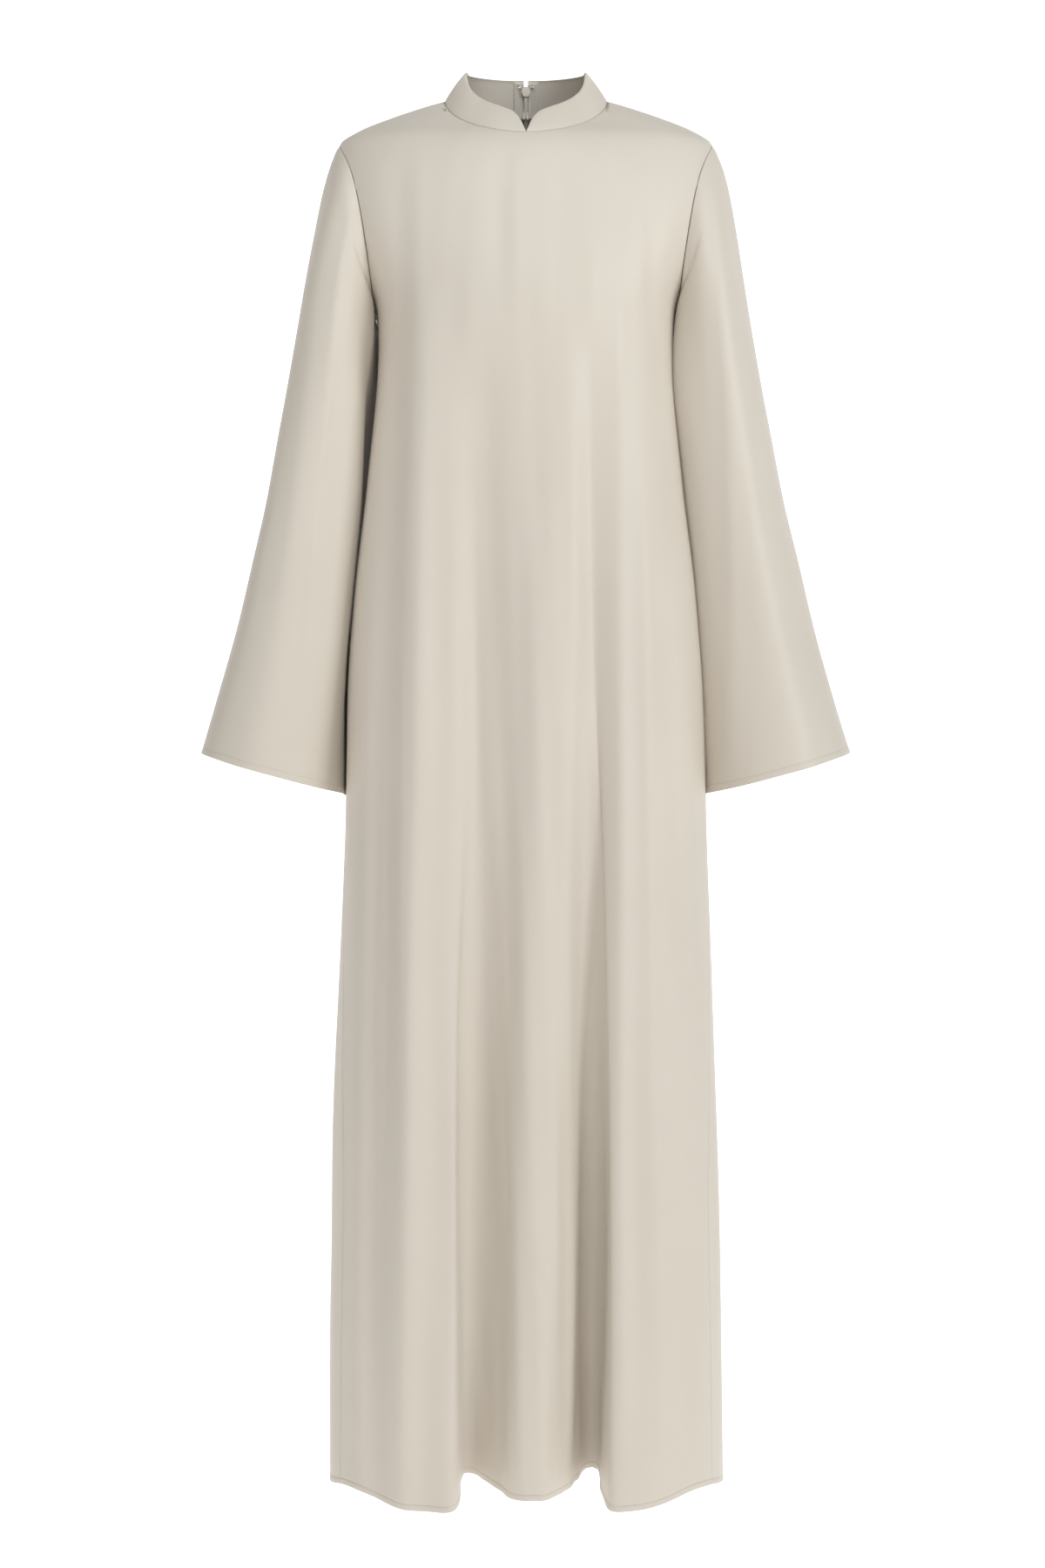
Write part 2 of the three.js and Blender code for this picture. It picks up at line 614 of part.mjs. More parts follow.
// The slider stands in the gap between the collar ends: a shield-shaped plate inside, a neck through the
// gap, and a plate with an arch outside. In its own frame +Y is out of the collar and +Z is up the band.
const insideFace = -(collarThick + seamGap + chainThick + seamGap);
const shieldThick = 1.2;
const shield = [
  { across: 2.1, up: 5 },
  { across: 3.6, up: 3.2 },
  { across: 4.7, up: 1 },
  { across: 4.3, up: -1 },
  { across: 2.9, up: -4 },
  { across: 2.4, up: -5 },
];
const outsideFace = 1.5;
const archHoleTop = 3.7;
const archTop = 4.7;
const archHalfLength = 2.6;
const archHoleHalfLength = 1.6;
const archHalfWidth = 1;
const pinY = (outsideFace + archHoleTop) / 2;

function solidOf(geometry) {
  const bare = geometry.index ? geometry.toNonIndexed() : geometry;
  bare.deleteAttribute('normal');
  bare.deleteAttribute('uv');
  const merged = mergeVertices(bare, 1e-4);
  return new wasm.Manifold(new wasm.Mesh({
    numProp: 3,
    vertProperties: new Float32Array(merged.attributes.position.array),
    triVerts: new Uint32Array(merged.index.array),
  }));
}

function geometryOf(solid) {
  const { vertProperties, triVerts } = solid.getMesh();
  return facingOut(Array.from(vertProperties), Array.from(triVerts));
}

// A plate of an outline in the XZ plane, from one depth in Y to another.
function plate(outline, fromY, toY, bevel = 0) {
  const geometry = new THREE.ExtrudeGeometry(outline, {
    depth: toY - fromY - 2 * bevel,
    bevelEnabled: bevel > 0,
    bevelThickness: bevel,
    bevelSize: bevel,
    bevelSegments: 1,
    curveSegments: 6,
  });
  geometry.rotateX(Math.PI / 2);
  return geometry.translate(0, toY - bevel, 0);
}

function block(halfX, fromY, toY, fromZ, toZ) {
  const geometry = new THREE.BoxGeometry(2 * halfX, toY - fromY, toZ - fromZ);
  return geometry.translate(0, (fromY + toY) / 2, (fromZ + toZ) / 2);
}

const shieldOutline = new THREE.Shape([
  ...shield.map(({ across, up }) => new THREE.Vector2(across, up)),
  ...[...shield].reverse().map(({ across, up }) => new THREE.Vector2(-across, up)),
]);
const outerPlate = new THREE.Shape();
outerPlate.absellipse(0, 0, 3.4, 4.8, 0, 2 * Math.PI);

const sliderSolid = [
  plate(outerPlate, seamGap, outsideFace),
  block(1.5, insideFace - 0.2, seamGap + 0.2, -1, 3.4),
  block(archHalfWidth, outsideFace - 0.2, archTop, archHoleHalfLength, archHalfLength),
  block(archHalfWidth, outsideFace - 0.2, archTop, -archHalfLength, -archHoleHalfLength),
  block(archHalfWidth, archHoleTop, archTop, -archHalfLength, archHalfLength),
].reduce((whole, geometry) => whole.add(solidOf(geometry)), solidOf(
  plate(shieldOutline, insideFace - shieldThick, insideFace, 0.25),
));

const collarEnd = new THREE.Vector3(0, neckHalfBack, -neckBackDrop);
const sliderFoot = collarEnd.clone().addScaledVector(collarRise(collarEnd), sliderHeight);
const sliderTilt = THREE.MathUtils.degToRad(collarLeanAt(180));
function setOnCollar(piece) {
  piece.position.copy(sliderFoot);
  piece.rotation.x = sliderTilt;
}
setOnCollar(addPiece('zip_slider', geometryOf(sliderSolid), zipMetal));

// The pull hangs by its eye on the arch, and swings about the bar across the top of the eye.
const pullHalfWidth = 2.9;
const pullLength = 22;
const pullThick = 1.2;
const eyeHalfWidth = 1.6;
const eyeDepth = 4;
const barHalf = 0.6;
const pullOutline = new THREE.Shape();
pullOutline.moveTo(-pullHalfWidth, barHalf);
pullOutline.lineTo(-pullHalfWidth, -eyeDepth - 3);
pullOutline.lineTo(-pullHalfWidth + 0.9, -eyeDepth - 6);
pullOutline.lineTo(-pullHalfWidth, -pullLength + pullHalfWidth);
pullOutline.absarc(0, -pullLength + pullHalfWidth, pullHalfWidth, Math.PI, 2 * Math.PI, false);
pullOutline.lineTo(pullHalfWidth - 0.9, -eyeDepth - 6);
pullOutline.lineTo(pullHalfWidth, -eyeDepth - 3);
pullOutline.lineTo(pullHalfWidth, barHalf);
pullOutline.closePath();
const eyeHole = new THREE.Path([
  new THREE.Vector2(-eyeHalfWidth, -barHalf),
  new THREE.Vector2(eyeHalfWidth, -barHalf),
  new THREE.Vector2(eyeHalfWidth, -barHalf - eyeDepth),
  new THREE.Vector2(-eyeHalfWidth, -barHalf - eyeDepth),
]);
pullOutline.holes.push(eyeHole);
setOnCollar(addPiece('zip_pull', plate(pullOutline, pinY - pullThick / 2, pinY + pullThick / 2), zipMetal));

// Hook and eye: wire bent flat against the tapes, just inside the top of the collar ends.
const wireRadius = 0.45;
const wireDepth = -(collarThick + seamGap + tapeThick + 2 * seamGap + wireRadius);
const wireHeight = 4.9;
const collarEndBend = 0.16;
function wire(route) {
  const path = new THREE.CatmullRomCurve3(route.map(([x, z]) => (
    new THREE.Vector3(x, wireDepth - collarEndBend * (Math.abs(x) - tapeInnerEdge), wireHeight + z)
  )));
  const round = new THREE.Shape();
  round.absarc(0, 0, wireRadius, 0, 2 * Math.PI);
  const options = { extrudePath: path, steps: 18, curveSegments: 6, bevelEnabled: false };
  return new THREE.ExtrudeGeometry(round, options);
}
const hookRoute = [
  [8.3, -1.7], [8.9, -0.5], [7.8, 0.2], [5.4, 0],
  [5.3, 1.2], [7.7, 1.3], [8.9, 2], [8.3, 3],
];
const eyeRoute = [
  [-8.3, -1.7], [-9, -0.7], [-7.6, -0.4], [-5.6, 0.2],
  [-5.6, 1.4], [-7.6, 1.8], [-9, 2.2], [-8.3, 3.2],
];
setOnCollar(addPiece('hook', wire(hookRoute), zipMetal));
setOnCollar(addPiece('eye', wire(eyeRoute), zipMetal));

export default abaya;
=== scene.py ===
import math

import bmesh
import bpy
import numpy as np
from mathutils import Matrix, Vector


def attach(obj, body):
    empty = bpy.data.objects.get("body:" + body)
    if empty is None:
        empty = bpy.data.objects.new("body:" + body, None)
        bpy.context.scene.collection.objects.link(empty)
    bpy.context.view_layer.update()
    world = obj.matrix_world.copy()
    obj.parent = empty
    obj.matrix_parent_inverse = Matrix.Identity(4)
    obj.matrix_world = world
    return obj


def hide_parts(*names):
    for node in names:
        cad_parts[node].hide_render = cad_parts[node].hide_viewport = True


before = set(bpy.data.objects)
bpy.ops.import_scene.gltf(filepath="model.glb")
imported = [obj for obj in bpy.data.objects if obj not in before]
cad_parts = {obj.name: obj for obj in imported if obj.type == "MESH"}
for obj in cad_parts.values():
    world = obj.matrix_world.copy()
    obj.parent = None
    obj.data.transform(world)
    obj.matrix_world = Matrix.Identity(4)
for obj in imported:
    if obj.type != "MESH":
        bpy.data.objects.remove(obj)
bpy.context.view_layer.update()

# The photograph's viewpoint: level with the middle of the garment, straight on, from a tripod a few steps
# away. The picture is 1200 by 1800, and its height at the garment's mid-depth sets the lens. Here and in the
# studio, sizes are in metres.
CAMERA_DISTANCE = 2.7
VIEW_HEIGHT = 1.674
CAMERA_X = -0.0037
CAMERA_Z = -0.729
SENSOR = 36.0


def new_object(name, data):
    made = bpy.data.objects.new(name, data)
    bpy.context.scene.collection.objects.link(made)
    return made


camera_data = bpy.data.cameras.new("camera")
camera_data.sensor_width = SENSOR
camera_data.lens = SENSOR * CAMERA_DISTANCE / VIEW_HEIGHT
camera = new_object("camera", camera_data)
camera.location = (CAMERA_X, -CAMERA_DISTANCE, CAMERA_Z)
camera.rotation_euler = (math.radians(90), 0, 0)
bpy.context.scene.camera = camera
bpy.context.scene.view_settings.view_transform = "Standard"

# A white studio: a sweep that is floor and back wall in one, and soft boxes. The large key light stands in
# front on the right, with a weaker fill on the left and a top light for the shoulders.
WHITE = (1.0, 1.0, 1.0)
COOL_WHITE = (0.925, 0.967, 1.0)
WORLD_STRENGTH = 0.2


def soft_box(name, place, aim, size, power, tint):
    data = bpy.data.lights.new(name, "AREA")
    data.color = tint
    data.shape = "RECTANGLE"
    data.size, data.size_y = size
    data.energy = power
    light = new_object(name, data)
    light.location = place
    light.rotation_euler = (Vector(aim) - Vector(place)).to_track_quat("-Z", "Y").to_euler()


soft_box("key", place=(2.75, -2.4, 0.6), aim=(0, 0, -0.5), size=(1.0, 2.2), power=54, tint=COOL_WHITE)
soft_box("fill", place=(-2.9, -1.4, 0.3), aim=(0, 0, -0.4), size=(1.0, 1.6), power=9, tint=WHITE)
soft_box("top", place=(0.1, -1.4, 1.25), aim=(0, 0, 0), size=(1.2, 0.8), power=19, tint=COOL_WHITE)

world = bpy.data.worlds.new("studio")
world.use_nodes = True
world.node_tree.nodes["Background"].inputs["Color"].default_value = (*WHITE, 1)
world.node_tree.nodes["Background"].inputs["Strength"].default_value = WORLD_STRENGTH
bpy.context.scene.world = world

FLOOR_Z = -1.6
SWEEP_HALF_WIDTH = 5.0
SWEEP_FRONT = -5.0
SWEEP_BACK = 3.8
SWEEP_RADIUS = 1.2
SWEEP_TOP = 4.0
SWEEP_STEPS = 12
SWEEP_GLOW = 0.75
sweep_profile = [(SWEEP_FRONT, FLOOR_Z)]
for step in range(SWEEP_STEPS + 1):
    turn = math.radians(90 * step / SWEEP_STEPS)
    y = SWEEP_BACK - SWEEP_RADIUS + SWEEP_RADIUS * math.sin(turn)
    z = FLOOR_Z + SWEEP_RADIUS - SWEEP_RADIUS * math.cos(turn)
    sweep_profile.append((y, z))
sweep_profile.append((SWEEP_BACK, SWEEP_TOP))
sweep_points = [(x, y, z) for y, z in sweep_profile for x in (-SWEEP_HALF_WIDTH, SWEEP_HALF_WIDTH)]
sweep_faces = [(2 * i, 2 * i + 1, 2 * i + 3, 2 * i + 2) for i in range(len(sweep_profile) - 1)]
sweep_mesh = bpy.data.meshes.new("sweep")
sweep_mesh.from_pydata(sweep_points, [], sweep_faces)
sweep_mesh.polygons.foreach_set("use_smooth", [True] * len(sweep_faces))
sweep = new_object("sweep", sweep_mesh)
sweep_paint = bpy.data.materials.new("sweep_paint")
sweep_paint.use_nodes = True
sweep_shader = sweep_paint.node_tree.nodes["Principled BSDF"]
sweep_shader.inputs["Base Color"].default_value = (0.9, 0.9, 0.9, 1)
sweep_shader.inputs["Roughness"].default_value = 0.9
sweep_shader.inputs["Specular IOR Level"].default_value = 0.1
sweep_shader.inputs["Emission Color"].default_value = (*WHITE, 1)
sweep_shader.inputs["Emission Strength"].default_value = SWEEP_GLOW
sweep_mesh.materials.append(sweep_paint)


# The front: one A-line panel of stone-beige crepe, cut on the fold and sewn at the shoulders, armholes and
# sides. It hangs from the shoulders and falls into soft folds, deepest at the two troughs in the hem.
# Sizes are in millimetres until a mesh is made.
MM = 0.001
SHELL = 0.9
SEAM_GAP = 0.3
NECK_HALF_WIDTH = 86.5
NECK_FRONT_DROP = 48
NECK_BACK_DROP = 2
SHOULDER_TIP_Z = -48
UNDERARM_Z = -232
BUST_Z = -264
HEM_Z = -1476
NECK_CURVE_POWER = 1.05
YOKE_ROW_POWER = 2
YOKE_SPREAD_POWER = 1.6
# The number of steps that a worked-out line has before points are read off it.
DENSE = 360

# The garment's cross-sections, each a rounded rectangle: half its width, its reach forward and back, and how
# square it is, where 2 is an ellipse.
FIGURE = [
    dict(z=0, half_width=86.5, forward=1, back=62, square=2),
    dict(z=-4, half_width=100.5, forward=8, back=68, square=2),
    dict(z=-11, half_width=121.5, forward=18, back=74, square=2),
    dict(z=-19, half_width=144, forward=28.5, back=80, square=2),
    dict(z=-33.5, half_width=179, forward=45, back=88, square=2),
    dict(z=-48, half_width=199, forward=62, back=94, square=2),
    dict(z=-84, half_width=203, forward=79, back=103, square=2.1),
    dict(z=-121, half_width=199, forward=89, back=108, square=2.2),
    dict(z=-185, half_width=175, forward=102, back=112, square=2.35),
    dict(z=-232, half_width=158.5, forward=107, back=111, square=2.4),
    dict(z=-264, half_width=157, forward=109, back=110, square=2.45),
    dict(z=-410, half_width=169, forward=112, back=106, square=2.5),
    dict(z=-530, half_width=183, forward=112, back=105, square=2.5),
    dict(z=-635, half_width=190, forward=112, back=106, square=2.5),
    dict(z=-741, half_width=191.5, forward=112, back=108, square=2.5),
    dict(z=-915, half_width=197, forward=112, back=112, square=2.5),
    dict(z=-1138, half_width=205, forward=112, back=116, square=2.5),
    dict(z=-1361, half_width=208.5, forward=113, back=120, square=2.5),
    dict(z=-1476, half_width=209, forward=113, back=122, square=2.5),
]
# The armhole seam's distance from the middle.
ARMHOLE = [
    dict(z=-48, x=199),
    dict(z=-84, x=184),
    dict(z=-121, x=175),
    dict(z=-185, x=165),
    dict(z=-219, x=161),
    dict(z=-232, x=158.5),
]
# Where the side seam runs, in degrees from the centre front, which is 0, to the centre back, which is 180.
SIDE_SEAM = [
    dict(z=-264, turn=90),
    dict(z=-740, turn=84),
    dict(z=-1014, turn=71),
    dict(z=-1192, turn=65),
    dict(z=-1476, turn=66),
]
# The skirt's folds. place is the share of the way from the centre front to the centre back, below 0 on the
# wearer's right. A fold starts at the height start, and at the hem it is deep mm inward, slides under its
# neighbour by slide mm and lifts the hem by lift.
FOLDS = [
    dict(place=-0.098, right_width=0.024, left_width=0.052, start=-700, deep=58, slide=-14, lift=25),
    dict(place=0.01, right_width=0.06, left_width=0.05, start=-800, deep=14, slide=0, lift=8),
    dict(place=0.116, right_width=0.056, left_width=0.024, start=-520, deep=80, slide=14, lift=24),
    dict(place=0.36, right_width=0.09, left_width=0.09, start=-900, deep=0, slide=0, lift=15),
    dict(place=0.5, right_width=0.08, left_width=0.08, start=-900, deep=0, slide=0, lift=6.5),
    dict(place=0.62, right_width=0.035, left_width=0.05, start=-820, deep=42, slide=-5, lift=12),
    dict(place=0.79, right_width=0.05, left_width=0.035, start=-640, deep=60, slide=9, lift=16),
    dict(place=-0.36, right_width=0.09, left_width=0.09, start=-900, deep=0, slide=0, lift=16),
    dict(place=-0.5, right_width=0.08, left_width=0.08, start=-900, deep=0, slide=0, lift=6.5),
    dict(place=-0.65, right_width=0.05, left_width=0.035, start=-760, deep=48, slide=7, lift=13),
    dict(place=-0.86, right_width=0.035, left_width=0.05, start=-560, deep=64, slide=-9, lift=17),
]
FOLD_POWER = 1.5


def curve_of(table, by, column):
    """A smooth curve through one column of a table, which stays between its rows."""
    rows = sorted(table, key=lambda row: row[by])
    at = np.array([row[by] for row in rows], float)
    value = np.array([row[column] for row in rows], float)
    width = np.diff(at)
    rise = np.diff(value) / width
    slope = np.concatenate(([rise[0]], np.zeros(len(at) - 2), [rise[-1]]))
    for i in range(1, len(at) - 1):
        if rise[i - 1] * rise[i] > 0:
            nearer = 2 * width[i] + width[i - 1]
            farther = width[i] + 2 * width[i - 1]
            slope[i] = (nearer + farther) / (nearer / rise[i - 1] + farther / rise[i])

    def curve(where):
        x = np.clip(where, at[0], at[-1])
        i = np.clip(np.searchsorted(at, x, side="right") - 1, 0, len(at) - 2)
        t = (x - at[i]) / width[i]
        rest = 1 - t
        ends = value[i] * rest * rest * (1 + 2 * t) + value[i + 1] * t * t * (3 - 2 * t)
        return ends + width[i] * t * rest * (slope[i] * rest - slope[i + 1] * t)

    return curve


half_width_at = curve_of(FIGURE, "z", "half_width")
forward_at = curve_of(FIGURE, "z", "forward")
back_at = curve_of(FIGURE, "z", "back")
square_at = curve_of(FIGURE, "z", "square")
armhole_at = curve_of(ARMHOLE, "z", "x")
seam_turn_at = curve_of(SIDE_SEAM, "z", "turn")


def travel(line):
    """How far along a line of points each of them is."""
    return np.concatenate(([0], np.cumsum(np.linalg.norm(np.diff(line, axis=0), axis=1))))


def read_at(distances, far, rows):
    """Rows of three numbers read off at distances, where far says how far along each given row is."""
    return np.stack([np.interp(distances, far, rows[:, i]) for i in range(3)], axis=1)


def points_along(line, distances):
    return read_at(distances, travel(line), line)


TINY = 1e-9


def unit(ways):
    """The same ways, each with a length of 1."""
    return ways / np.maximum(np.linalg.norm(ways, axis=-1, keepdims=True), TINY)


def on_figure(x, z, side):
    """Points on the garment's cross-sections, in front where side is -1 and behind where it is 1."""
    reach = forward_at(z) if side < 0 else back_at(z)
    square = square_at(z)
    share = np.minimum(np.abs(x) / half_width_at(z), 1)
    return np.stack([x, side * reach * (1 - share**square) ** (1 / square), z], axis=-1)


def out_of_figure(points, side):
    """The ways straight out of the garment's cross-sections at points on them."""
    def level(x, y, z):
        reach = forward_at(z) if side < 0 else back_at(z)
        square = square_at(z)
        return np.abs(x / half_width_at(z)) ** square + np.abs(y / reach) ** square

    x, y, z = np.moveaxis(points, -1, 0)
    step = 0.05
    way = np.stack(
        [
            level(x + step, y, z) - level(x - step, y, z),
            level(x, y + step, z) - level(x, y - step, z),
            level(x, y, z + step) - level(x, y, z - step),
        ],
        axis=-1,
    )
    return unit(way)


# Columns and rows stand closer together beside a seam, so that the cloth can dip into it.
SEAM_STOPS = (0.0, 0.7, 1.5, 2.6, 4.2)


def stops_to_seam(length, count, start=0.0, end=0.0):
    """Distances that divide a line evenly and then close in on a seam at its far end."""
    fine = length - end - np.array(SEAM_STOPS[::-1])
    return np.concatenate((np.linspace(start, fine[0], count + 1)[:-1], fine))


def stops_from_seam(length, count, start=0.0):
    fine = start + np.array(SEAM_STOPS)
    return np.concatenate((fine, np.linspace(fine[-1], length, count + 1)[1:]))


def top_edge(side, neck_count, shoulder_count, arm_count):
    """The top edge of half a panel on the wearer's left: neckline, shoulder seam and armhole."""
    share = np.linspace(0, 1, DENSE + 1)
    turn = (np.pi / 2) * (1 - share)
    drop = NECK_FRONT_DROP if side < 0 else NECK_BACK_DROP
    neck = on_figure(NECK_HALF_WIDTH * np.cos(turn), -drop * np.sin(turn) ** NECK_CURVE_POWER, side)
    shoulder = on_figure(half_width_at(SHOULDER_TIP_Z * share), SHOULDER_TIP_Z * share, side)
    arm_z = SHOULDER_TIP_Z + (UNDERARM_Z - SHOULDER_TIP_Z) * share
    arm = on_figure(armhole_at(arm_z), arm_z, side)
    parts = [
        points_along(neck, np.linspace(0, travel(neck)[-1], neck_count + 1)),
        points_along(shoulder, np.linspace(0, travel(shoulder)[-1], shoulder_count + 1))[1:],
        points_along(arm, stops_to_seam(travel(arm)[-1], arm_count))[1:],
    ]
    return np.concatenate(parts)


def fold_at(fold, place):
    """How much a fold, as a share of its full depth, shows at a place round the skirt."""
    width = np.where(place < fold["place"], fold["right_width"], fold["left_width"])
    return np.exp(-(((place - fold["place"]) / width) ** 2))


def fold_growth(fold, z):
    return np.clip((fold["start"] - z) / (fold["start"] - HEM_Z), 0, 1) ** FOLD_POWER


def skirt_row(side, hand, down, columns):
    """One row of half a panel, from its centre line to the side seam, and the outward way at the seam."""
    level = BUST_Z + (HEM_Z - BUST_Z) * down
    turn = np.linspace(0, np.pi, 2 * DENSE + 1)
    power = 2 / square_at(level)
    reach = np.where(turn < np.pi / 2, -forward_at(level), back_at(level))
    x = hand * half_width_at(level) * np.sin(turn) ** power
    flat = np.stack([x, reach * np.abs(np.cos(turn)) ** power, np.full_like(turn, level)], axis=1)
    far = travel(flat)
    place = hand * far / far[-1]
    way = np.gradient(flat, axis=0)
    out = unit(np.stack([-way[:, 1], way[:, 0], np.zeros_like(turn)], axis=1) * -hand)
    inward = sum(fold["deep"] * fold_at(fold, place) * fold_growth(fold, level) for fold in FOLDS)
    aside = sum(fold["slide"] * fold_at(fold, place) * fold_growth(fold, level) for fold in FOLDS)
    lift = sum(fold["lift"] * fold_at(fold, place) for fold in FOLDS)
    leftward = np.stack([-out[:, 1], out[:, 0], np.zeros_like(turn)], axis=1)
    moved = flat - out * inward[:, None] + leftward * aside[:, None]
    moved[:, 2] += lift * down
    seam = np.searchsorted(turn, math.radians(float(seam_turn_at(level))))
    part = moved[: seam + 1] if side < 0 else moved[seam:][::-1]
    start = 0 if side < 0 else SEAM_GAP / 2
    stops = stops_to_seam(travel(part)[-1], columns, start, SEAM_GAP / 2)
    return points_along(part, stops), out[seam]


def grid_ways(grid, wraps=False):
    """Unit ways across a grid of points, found from the neighbours of each."""
    if wraps:
        across = np.roll(grid, -1, axis=1) - np.roll(grid, 1, axis=1)
    else:
        across = np.gradient(grid, axis=1)
    return unit(np.cross(across, np.gradient(grid, axis=0)))


def down_from_top(points):
    """How far each point of a grid is from its column's top."""
    steps = np.linalg.norm(np.diff(points, axis=0), axis=2)
    return np.concatenate((np.zeros((1, points.shape[1])), np.cumsum(steps, axis=0)))


NECK_COLUMNS = 24
SHOULDER_COLUMNS = 24
ARM_COLUMNS = 32
YOKE_ROWS = 34
SKIRT_ROWS = 118
HEM_DEEP = 6.0
HEM_STOPS = (11.0, 8.5, 7.2, 6.4, 6.0, 5.6, 4.8, 3.2, 1.6, 0.6, 0.0)
HALF_COLUMNS = NECK_COLUMNS + SHOULDER_COLUMNS + ARM_COLUMNS
ARM_START = NECK_COLUMNS + SHOULDER_COLUMNS


def half_panel(side, hand):
    """Half a panel as grids of points, outward ways and distances from its top edge and its side seam."""
    tops = top_edge(side, NECK_COLUMNS, SHOULDER_COLUMNS, ARM_COLUMNS)
    hem_length = BUST_Z - HEM_Z
    even = np.linspace(0, 1 - HEM_STOPS[0] / hem_length, SKIRT_ROWS + 1)[:-1]
    downs = np.concatenate((even, 1 - np.array(HEM_STOPS) / hem_length))
    rows = [skirt_row(side, hand, down, HALF_COLUMNS) for down in downs]
    skirt = np.array([row for row, _ in rows])
    share = np.linspace(0, 1, DENSE + 1) ** YOKE_ROW_POWER
    columns = []
    for c, (top, foot) in enumerate(zip(tops, skirt[0])):
        top_x = SEAM_GAP / 2 if side > 0 and c == 0 else top[0]
        foot_x = abs(foot[0])
        x = foot_x + (top_x - foot_x) * (1 - share) ** YOKE_SPREAD_POWER
        line = on_figure(x, top[2] + (foot[2] - top[2]) * share, side)
        start = SEAM_GAP / 2 if c < ARM_START else 0
        column = points_along(line, stops_from_seam(travel(line)[-1], YOKE_ROWS, start))[:-1]
        if c == len(tops) - 1:
            column[:, 1] = side * np.maximum(np.abs(column[:, 1]), SEAM_GAP / 2)
        columns.append(column * (hand, 1, 1))
    yoke = np.array(columns).swapaxes(0, 1)
    points = np.concatenate((yoke, skirt))
    ways = grid_ways(points) * side * hand
    on_ridge = points[: len(yoke)].copy()
    on_ridge[0, NECK_COLUMNS : ARM_START + 1, 1] = 0
    on_ridge[:, -1, 1] = 0
    ways[: len(yoke)] = out_of_figure(on_ridge, side)
    for r, (_, seam_way) in enumerate(rows):
        ways[len(yoke) + r, -1] = seam_way
    row_steps = np.linalg.norm(np.diff(points, axis=1), axis=2)
    beyond = np.cumsum(row_steps[:, ::-1], axis=1)[:, ::-1]
    to_seam = np.concatenate((beyond, np.zeros((len(points), 1))), axis=1)
    return points, ways, down_from_top(points), to_seam


# How far the cloth rolls in beside a seam, and the hem's turned edge, which stands a little proud below the
# groove that its stitching pulls in.
SEAM_DIP = 0.32
SEAM_DIP_WIDTH = 1.3
HEM_PROUD = 0.25
HEM_STEP = 0.5
STITCH_DIP = 0.28
STITCH_DIP_WIDTH = 0.7
# Creases and unevenness fade out towards a seam over this distance.
INLAND_WIDTH = 22


def seam_dip(distance):
    return -SEAM_DIP * np.exp(-((distance / SEAM_DIP_WIDTH) ** 2))


def hem_form(above):
    """The relief of a turned hem at a height above its edge."""
    band = HEM_PROUD * (1 - np.tanh((above - HEM_DEEP) / HEM_STEP)) / 2
    return band - STITCH_DIP * np.exp(-(((above - HEM_DEEP) / STITCH_DIP_WIDTH) ** 2))


# Waves round the body, which drift as they go down and grow from the chest to the skirt.
RIPPLES = [
    dict(out=0.9, around=9, down=0.0042, shift=1.1),
    dict(out=0.6, around=17, down=-0.0061, shift=2.3),
    dict(out=0.35, around=29, down=0.0117, shift=0.4),
    dict(out=0.25, around=5, down=0.021, shift=0),
]
RIPPLE_TOP_Z = -150
RIPPLE_FADE = 600
RIPPLE_AT_TOP = 0.25
RIPPLE_GROWTH = 0.9


def ripple(points):
    """The slight unevenness of hanging crepe, the same on both sides of a seam."""
    x, y, z = np.moveaxis(points, -1, 0)
    turn = np.arctan2(x, -y)
    low = np.clip((RIPPLE_TOP_Z - z) / RIPPLE_FADE, 0, 1)
    waves = 0
    for row in RIPPLES:
        waves = waves + row["out"] * np.sin(row["around"] * turn + row["down"] * z + row["shift"])
    return waves * (RIPPLE_AT_TOP + RIPPLE_GROWTH * low)


# A crease grows and fades along its line as a sine to this power.
CREASE_FULLNESS = 0.7


def creases(points, table):
    """Soft ridges, out above 0, and troughs, each along a line from its top to its foot."""
    x, _, z = np.moveaxis(points, -1, 0)
    total = np.zeros_like(x)
    for row in table:
        share = (row["z_top"] - z) / (row["z_top"] - row["z_foot"])
        inside = np.clip(share, 0, 1)
        middle = row["x_top"] + (row["x_foot"] - row["x_top"]) * inside
        width = np.where(x < middle, row["right_width"], row["left_width"])
        along = np.sin(np.pi * inside) ** CREASE_FULLNESS
        total += row["out"] * along * np.exp(-(((x - middle) / width) ** 2))
    return total


